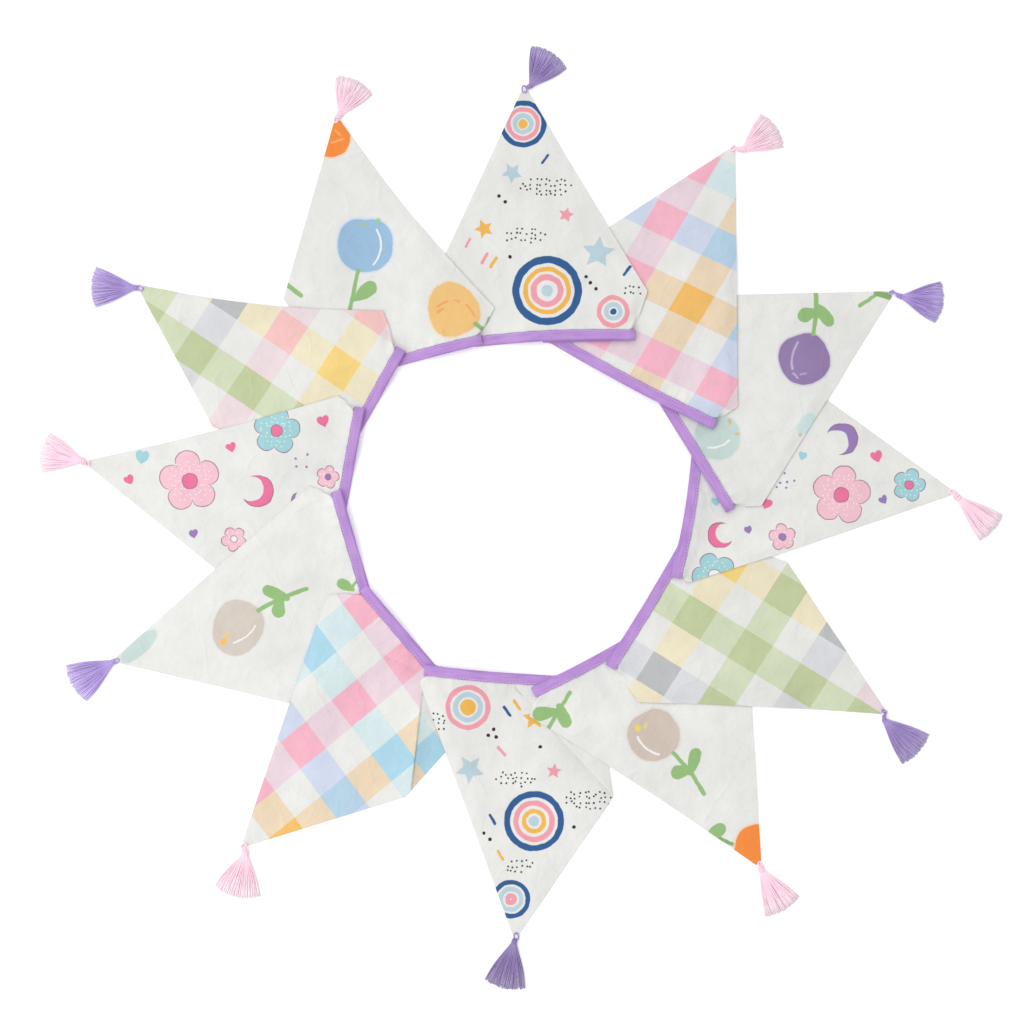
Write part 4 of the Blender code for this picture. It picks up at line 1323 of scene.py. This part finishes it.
def makeTape():
    sizes = tapeSizes
    route = tapeRoute()
    dense = []
    for first, second in zip(route, route[1:]):
        steps = max(1, round((second[0] - first[0]).length / sizes["stepLength"]))
        for step in range(steps):
            share = step / steps
            dense.append((first[0].lerp(second[0], share), first[1].lerp(second[1], share),
                          first[2].lerp(second[2], share).normalized(), mix(first[3], second[3], share),
                          mix(first[4], second[4], share)))
    dense.append(route[-1])
    lengths = [0.0]
    for first, second in zip(dense, dense[1:]):
        lengths.append(lengths[-1] + (second[0] - first[0]).length)

    builder = bmesh.new()
    columns = len(dense) - 1
    bmesh.ops.create_grid(builder, x_segments=columns, y_segments=sizes["sectionCells"], size=0.5)
    placeLayer = builder.verts.layers.float_vector.new("tapePlace")
    for vert in builder.verts:
        index = round((vert.co.x + 0.5) * columns)
        share = vert.co.y + 0.5
        middle, side, normal, thickness, tucked = dense[index]
        across, up = sectionPoint(share, thickness, lengths[index])
        across = across * (1 - 0.13 * tucked) + 0.7 * tucked
        spot = middle + side * across + normal * up
        vert[placeLayer] = (lengths[index], across, share)
        vert.co = toFrame(spot, spot.z)
    bmesh.ops.recalc_face_normals(builder, faces=builder.faces[:])
    piece = finishPiece(builder, "bindingTape", makeTapeMaterial())
    thicken(piece, sizes["wall"])
    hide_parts("binding_tape")
    return piece, lengths[-1]


# one short stitch, drawn out of a ball, is copied along the sewn edge of each stretch
def makeStitches():
    look = tapeLook
    template = bmesh.new()
    bmesh.ops.create_uvsphere(template, u_segments=6, v_segments=6, radius=1.0)
    bmesh.ops.rotate(template, verts=template.verts, cent=(0, 0, 0),
                     matrix=Matrix.Rotation(math.pi / 2, 3, "Y"))
    for vert in template.verts:
        stretch = math.copysign(abs(vert.co.x) ** 0.5, vert.co.x)
        vert.co = (stretch * look["stitchLength"] / 2 * mm, vert.co.y * look["stitchRadius"] * mm * 1.2,
                   vert.co.z * look["stitchRadius"] * mm)
    mesh = bpy.data.meshes.new("stitchShape")
    template.to_mesh(mesh)
    template.free()
    builder = bmesh.new()
    chance = random.Random(4)
    inset = tapeSizes["width"] / 2 - look["stitchInset"]
    for plan in layouts:
        place = 2.0
        while place < plan.length - 1:
            point, facing, height = tapeStation(plan, place)
            ahead = tapeStation(plan, place + 1)
            forward = Vector((*(ahead[0] - point), ahead[2] - height)).normalized()
            spot = point + facing * (inset + chance.uniform(-0.12, 0.12))
            known = len(builder.verts)
            builder.from_mesh(mesh)
            builder.verts.ensure_lookup_table()
            askew = Matrix.Rotation(chance.uniform(-0.12, 0.12), 3, "Z")
            turn = forward.to_track_quat("X", "Z").to_matrix() @ askew
            top = height + tapeSizes["thick"] / 2 - 0.1
            bmesh.ops.transform(builder, verts=builder.verts[known:],
                                matrix=Matrix.Translation(toFrame(spot, top)) @ turn.to_4x4())
            place += look["stitchPitch"] * chance.uniform(0.94, 1.06)
    bpy.data.meshes.remove(mesh)
    piece = finishPiece(builder, "tapeStitches", threadMaterial("stitchThread", look["thread"]))
    return piece


tapePiece, tapeLength = makeTape()
stitches = makeStitches()
print("tape sewn, %.0f mm long" % tapeLength)


# tassels

# tone is painted light and shade: it makes each whole tassel lighter or darker as the light falls across the
# ring
tasselRows = [
    dict(neck=(11, 429), open=True, heading=58, spread=32, reach=39.5, tone=0.86),
    dict(neck=(223, 365), heading=34, spread=30, reach=40.5, tone=0.99),
    dict(neck=(382, 218), heading=-8, spread=30, reach=42, tone=1.05),
    dict(neck=(438, 17), heading=-42, spread=21, reach=48, tone=1.0),
    dict(neck=(364, -205), heading=-43, spread=25, reach=47.5, tone=0.89),
    dict(neck=(241, -355), heading=-60, spread=25, reach=46.5, tone=1.0),
    dict(neck=(-6, -427), open=True, heading=-102, spread=26, reach=47.5, crossed=0.2, tone=0.7),
    dict(neck=(-274.5, -338), heading=-102, spread=31, reach=45.5, tone=0.99),
    dict(neck=(-407, -147), open=True, heading=-150, spread=26, reach=47.5, tone=1.1),
    dict(neck=(-437.5, 54), heading=167, spread=28, reach=43, tone=0.97),
    dict(neck=(-385, 227), open=True, heading=179, spread=27, reach=44, tone=1.04),
    dict(neck=(-179.5, 401), heading=64, spread=33, reach=37.5, tone=0.97),
]

# the yarn colours are given lighter than the dyed yarn: painted light that makes up for the shade between the
# threads
tasselLook = {
    "layers": 4, "threadsALayer": 50, "threadRings": 8, "threadSides": 5, "threadRadius": 0.43,
    "purple": {"core": ink(169, 145, 212), "middle": ink(185, 161, 225), "end": ink(204, 188, 235)},
    "pink": {"core": ink(255, 213, 231, 1.0), "middle": ink(255, 222, 236, 1.0),
             "end": ink(255, 234, 244, 1.0)},
    "tints": ((0.84, 1.06), (0.92, 1.03)), "full": (1.0, 1.3), "lobe": (0.92, 0.72), "knotSize": (1.0, 1.28),
}


def makeYarnMaterial(name, colours):
    material, tree, shader = newMaterial(name)
    stops = [(0.0, colours["middle"]), (0.35, colours["core"]), (0.7, colours["middle"]), (1.0, colours["end"])]
    colour = addRamp(tree, addAttribute(tree, "reach"), stops)
    # the tint attribute is each thread's own tint times its tassel's painted light and shade
    tree.links.new(addShade(tree, colour, addAttribute(tree, "tint")), shader.inputs["Base Color"])
    coords = tree.nodes.new("ShaderNodeTexCoord")
    grain = addNoise(tree, coords.outputs["Object"], 1400.0, 2.0)
    tree.links.new(addRange(tree, grain, 0.3, 0.7, 0.55, 0.75), shader.inputs["Roughness"])
    setInputs(shader, Sheen_Weight=0.3)
    tree.links.new(addBump(tree, grain, 0.3, 0.0001), shader.inputs["Normal"])
    return material


yarnMaterials = {
    "purple_yarn": makeYarnMaterial("purpleYarn", tasselLook["purple"]),
    "pink_yarn": makeYarnMaterial("pinkYarn", tasselLook["pink"]),
}


# a tube from a grid rolled round its path, with the given width and height at each point
def makeTube(builder, path, radii, sides, closed=False):
    count = len(path)
    made = bmesh.ops.create_grid(builder, x_segments=count if closed else count - 1, y_segments=sides, size=0.5)
    verts = made["verts"]
    last = count if closed else count - 1
    for vert in verts:
        index = round((vert.co.x + 0.5) * last)
        angle = math.tau * round((vert.co.y + 0.5) * sides) / sides
        here = path[index % count]
        before = path[(index - 1) % count] if closed or index else here
        after = path[(index + 1) % count] if closed or index < count - 1 else here
        forward = (after - before).normalized()
        side = forward.cross(Vector((0, 0, 1)))
        side = side.normalized() if side.length > 0.05 else Vector((1, 0, 0))
        up = side.cross(forward)
        width, height = radii[index % count]
        vert.co = here + side * (width * math.cos(angle)) + up * (height * math.sin(angle))
    bmesh.ops.remove_doubles(builder, verts=verts, dist=0.0005)
    return [vert for vert in verts if vert.is_valid]


def threadTemplate():
    look = tasselLook
    builder = bmesh.new()
    rings = look["threadRings"] + 2
    path = [Vector((index, 0, 0)) for index in range(rings)]
    radii = [(0.0, 0.0) if index in (0, rings - 1) else (0.3, 0.3) for index in range(rings)]
    makeTube(builder, path, radii, look["threadSides"])
    bmesh.ops.recalc_face_normals(builder, faces=builder.faces[:])
    mesh = bpy.data.meshes.new("threadShape")
    builder.to_mesh(mesh)
    builder.free()
    spots = []
    for vert in mesh.vertices:
        around = Vector((vert.co.y, vert.co.z))
        spots.append((round(vert.co.x), around / 0.3))
    return mesh, spots, rings


threadMesh, threadSpots, threadRings = threadTemplate()


def makeTassel(number):
    look = tasselLook
    row = tasselRows[number]
    plan = layouts[number]
    chance = random.Random(31 + number)
    tip = Vector(plan.row["tip"])
    axis = (tip - (plan.start + plan.end) / 2).normalized()
    heading = Vector((math.cos(math.radians(row["heading"])), math.sin(math.radians(row["heading"]))))
    neck = Vector(row["neck"])
    side = leftOf(heading)
    builder = bmesh.new()
    tintAndPaintedLightLayer = builder.verts.layers.float.new("tint")
    reachLayer = builder.verts.layers.float.new("reach")

    kind = number % 2
    tints, full, lobe, size = (look[key][kind] for key in ("tints", "full", "lobe", "knotSize"))

    # the knot's own tint times the tassel's painted light and shade
    def colourIn(verts, tint, reach):
        for vert in verts:
            vert[tintAndPaintedLightLayer] = mix(*tints, tint) * row["tone"]
            vert[reachLayer] = reach

    halfAngle = math.radians(row["spread"])
    for layer in range(look["layers"]):
        count = look["threadsALayer"] - layer
        for step in range(count):
            fan = (2 * (step + 0.5) / count - 1) + chance.uniform(-0.5, 0.5) / count
            fan = max(-1.0, min(1.0, fan))
            drift = chance.uniform(-0.035, 0.035) * (1.6 if layer == look["layers"] - 1 else 0.7)
            if chance.random() < row.get("crossed", 0.03):
                drift *= 5
            drift = max(-halfAngle * (1 + fan), min(halfAngle * (1 - fan), drift))
            length = row["reach"] * (1 - 0.012 * layer) + chance.uniform(-1.1, 0.9)
            tint = chance.random() ** 0.8
            restHeight = 0.5 + 0.72 * layer
            bow = chance.uniform(-0.5, 0.5)
            known = len(builder.verts)
            builder.from_mesh(threadMesh)
            builder.verts.ensure_lookup_table()
            for vert, (ring, around) in zip(builder.verts[known:], threadSpots):
                share = min(1.0, max(0.0, (ring - 0.9) / (threadRings - 2.85)))
                angle = fan * halfAngle * (1 + 0.10 * math.sin(math.pi * share)) + drift * share
                forward = length * share
                spot = neck + heading * (forward * math.cos(angle)) + side * (forward * math.sin(angle))
                spot += side * (fan * 2.1 * (1 - share) + bow * math.sin(math.pi * share))
                neckHeight = 2.1 + (layer - 1.5) * 0.62 * (1 - fan * fan) ** 0.5
                height = mix(neckHeight, restHeight, smooth(share / 0.5))
                height = mix(height, 0.44 + 0.42 * layer, smooth((share - 0.55) / 0.45))
                radius = look["threadRadius"] * mix(0.85, full, share)
                spot += side * (around.x * radius)
                vert.co = (spot.x, spot.y, max(0.02, height + around.y * radius * lobe))
                # the thread's own tint times the tassel's painted light and shade
                vert[tintAndPaintedLightLayer] = mix(*tints, tint) * row["tone"]
                vert[reachLayer] = share

    # yarn eye through the cloth's tip, then the tied neck
    knot = tip.lerp(neck, 0.55) + axis * 0.6
    bend = (axis + heading).normalized()
    eyeCentre = tip + axis * 2.2
    eyes = [(3.4, 2.3, 0.0)] if row.get("open") else [(2.7, 1.7, 0.35), (2.4, 1.2, -0.4)]
    for long, wide, skew in eyes:
        eye = []
        for step in range(18):
            angle = math.tau * step / 18
            spot = eyeCentre + axis * (long * math.cos(angle + skew))
            spot += leftOf(axis) * (wide * size * math.sin(angle))
            eye.append(Vector((spot.x, spot.y, 1.9 + skew * 0.9 + 0.4 * math.sin(angle * 2))))
        colourIn(makeTube(builder, eye, [(0.72, 0.66)] * 18, 7, True), 0.6 + skew, 0.1)
    for turn in range(4):
        spread = (turn - 1.5) / 1.5
        centre = knot.lerp(neck, turn / 3)
        facing = (bend if turn < 2 else heading)
        across = leftOf(facing)
        wrap = []
        for step in range(14):
            angle = math.tau * step / 14
            slant = facing * (0.9 * math.sin(angle) * (1 if turn % 2 else -1))
            spot = centre + across * (2.35 * size * math.cos(angle)) + slant
            wrap.append(Vector((spot.x, spot.y, 2.1 + 1.35 * math.sin(angle))))
        colourIn(makeTube(builder, wrap, [(0.62 * size, 0.62)] * 14, 6, True), 0.4 + 0.2 * (turn % 2), 0.15)
    core = [eyeCentre + axis * 2.4, knot, neck, neck + heading * 4, neck + heading * 9, neck + heading * 10]
    corePath = [Vector((spot.x, spot.y, level)) for spot, level in zip(core, (2.1, 2.1, 2.1, 1.9, 1.6, 1.5))]
    coreRadii = [(0, 0), (2.0 * size, 1.3), (2.1 * size, 1.4), (2.4 * size, 1.3), (2.6, 0.9), (0, 0)]
    colourIn(makeTube(builder, corePath, coreRadii, 10), 0.1, 0.2)
    for vert in builder.verts:
        vert.co = toFrame(vert.co, vert.co.z)
    yarn = "pink_yarn" if number % 2 else "purple_yarn"
    piece = finishPiece(builder, "yarnTassel_%02d" % (number + 1), yarnMaterials[yarn])
    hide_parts("tassel_%02d" % (number + 1))
    return piece


tassels = [makeTassel(number) for number in range(len(tasselRows))]
bpy.data.meshes.remove(threadMesh)
print("tassels tied")


# floor, light and camera

setLook = {
    "floor": (0.97, 0.97, 0.97, 1), "glow": 0.14, "world": 0.69, "sun": 1.12, "sunAngle": 65.0,
    "sunFrom": (-0.62, 0.58, 1.0), "fill": 9.0, "fillSize": 1.2, "fillFrom": (-1.3, -0.75, 1.2),
    "cameraHeight": 2.5, "frameWidth": 1.024, "sensor": 36.0,
}


def makeFloor():
    builder = bmesh.new()
    bmesh.ops.create_grid(builder, x_segments=2, y_segments=2, size=6.0)
    mesh = bpy.data.meshes.new("studioFloor")
    builder.to_mesh(mesh)
    builder.free()
    material, _, shader = newMaterial("floorPaper")
    setInputs(shader, Base_Color=setLook["floor"], Roughness=1.0, Specular_IOR_Level=0.0,
              Emission_Color=(1, 1, 1, 1), Emission_Strength=setLook["glow"])
    mesh.materials.append(material)
    floor = newObject("studioFloor", mesh)


def makeLight():
    world = bpy.data.worlds.new("studioWorld")
    bpy.context.scene.world = world
    world.use_nodes = True
    world.node_tree.nodes["Background"].inputs["Color"].default_value = (1, 1, 1, 1)
    world.node_tree.nodes["Background"].inputs["Strength"].default_value = setLook["world"]
    data = bpy.data.lights.new("keyLight", "SUN")
    data.energy = setLook["sun"]
    data.angle = math.radians(setLook["sunAngle"])
    light = newObject("keyLight", data)
    light.rotation_euler = Vector(setLook["sunFrom"]).to_track_quat("Z", "Y").to_euler()
    fillData = bpy.data.lights.new("leftFill", "AREA")
    fillData.energy = setLook["fill"]
    fillData.size = setLook["fillSize"]
    fill = newObject("leftFill", fillData)
    fill.location = setLook["fillFrom"]
    fill.rotation_euler = Vector(setLook["fillFrom"]).to_track_quat("Z", "Y").to_euler()
    bpy.context.scene.view_settings.view_transform = "Standard"


# the photograph looks straight down, with one millimetre to a pixel of its 1024
def makeCamera():
    data = bpy.data.cameras.new("camera")
    data.sensor_width = setLook["sensor"]
    data.lens = setLook["sensor"] * setLook["cameraHeight"] / setLook["frameWidth"]
    camera = newObject("camera", data)
    camera.location = ringMiddle + Vector((-8 * mm, 3 * mm, setLook["cameraHeight"]))
    bpy.context.scene.camera = camera


makeFloor()
makeLight()
makeCamera()
print("studio ready")
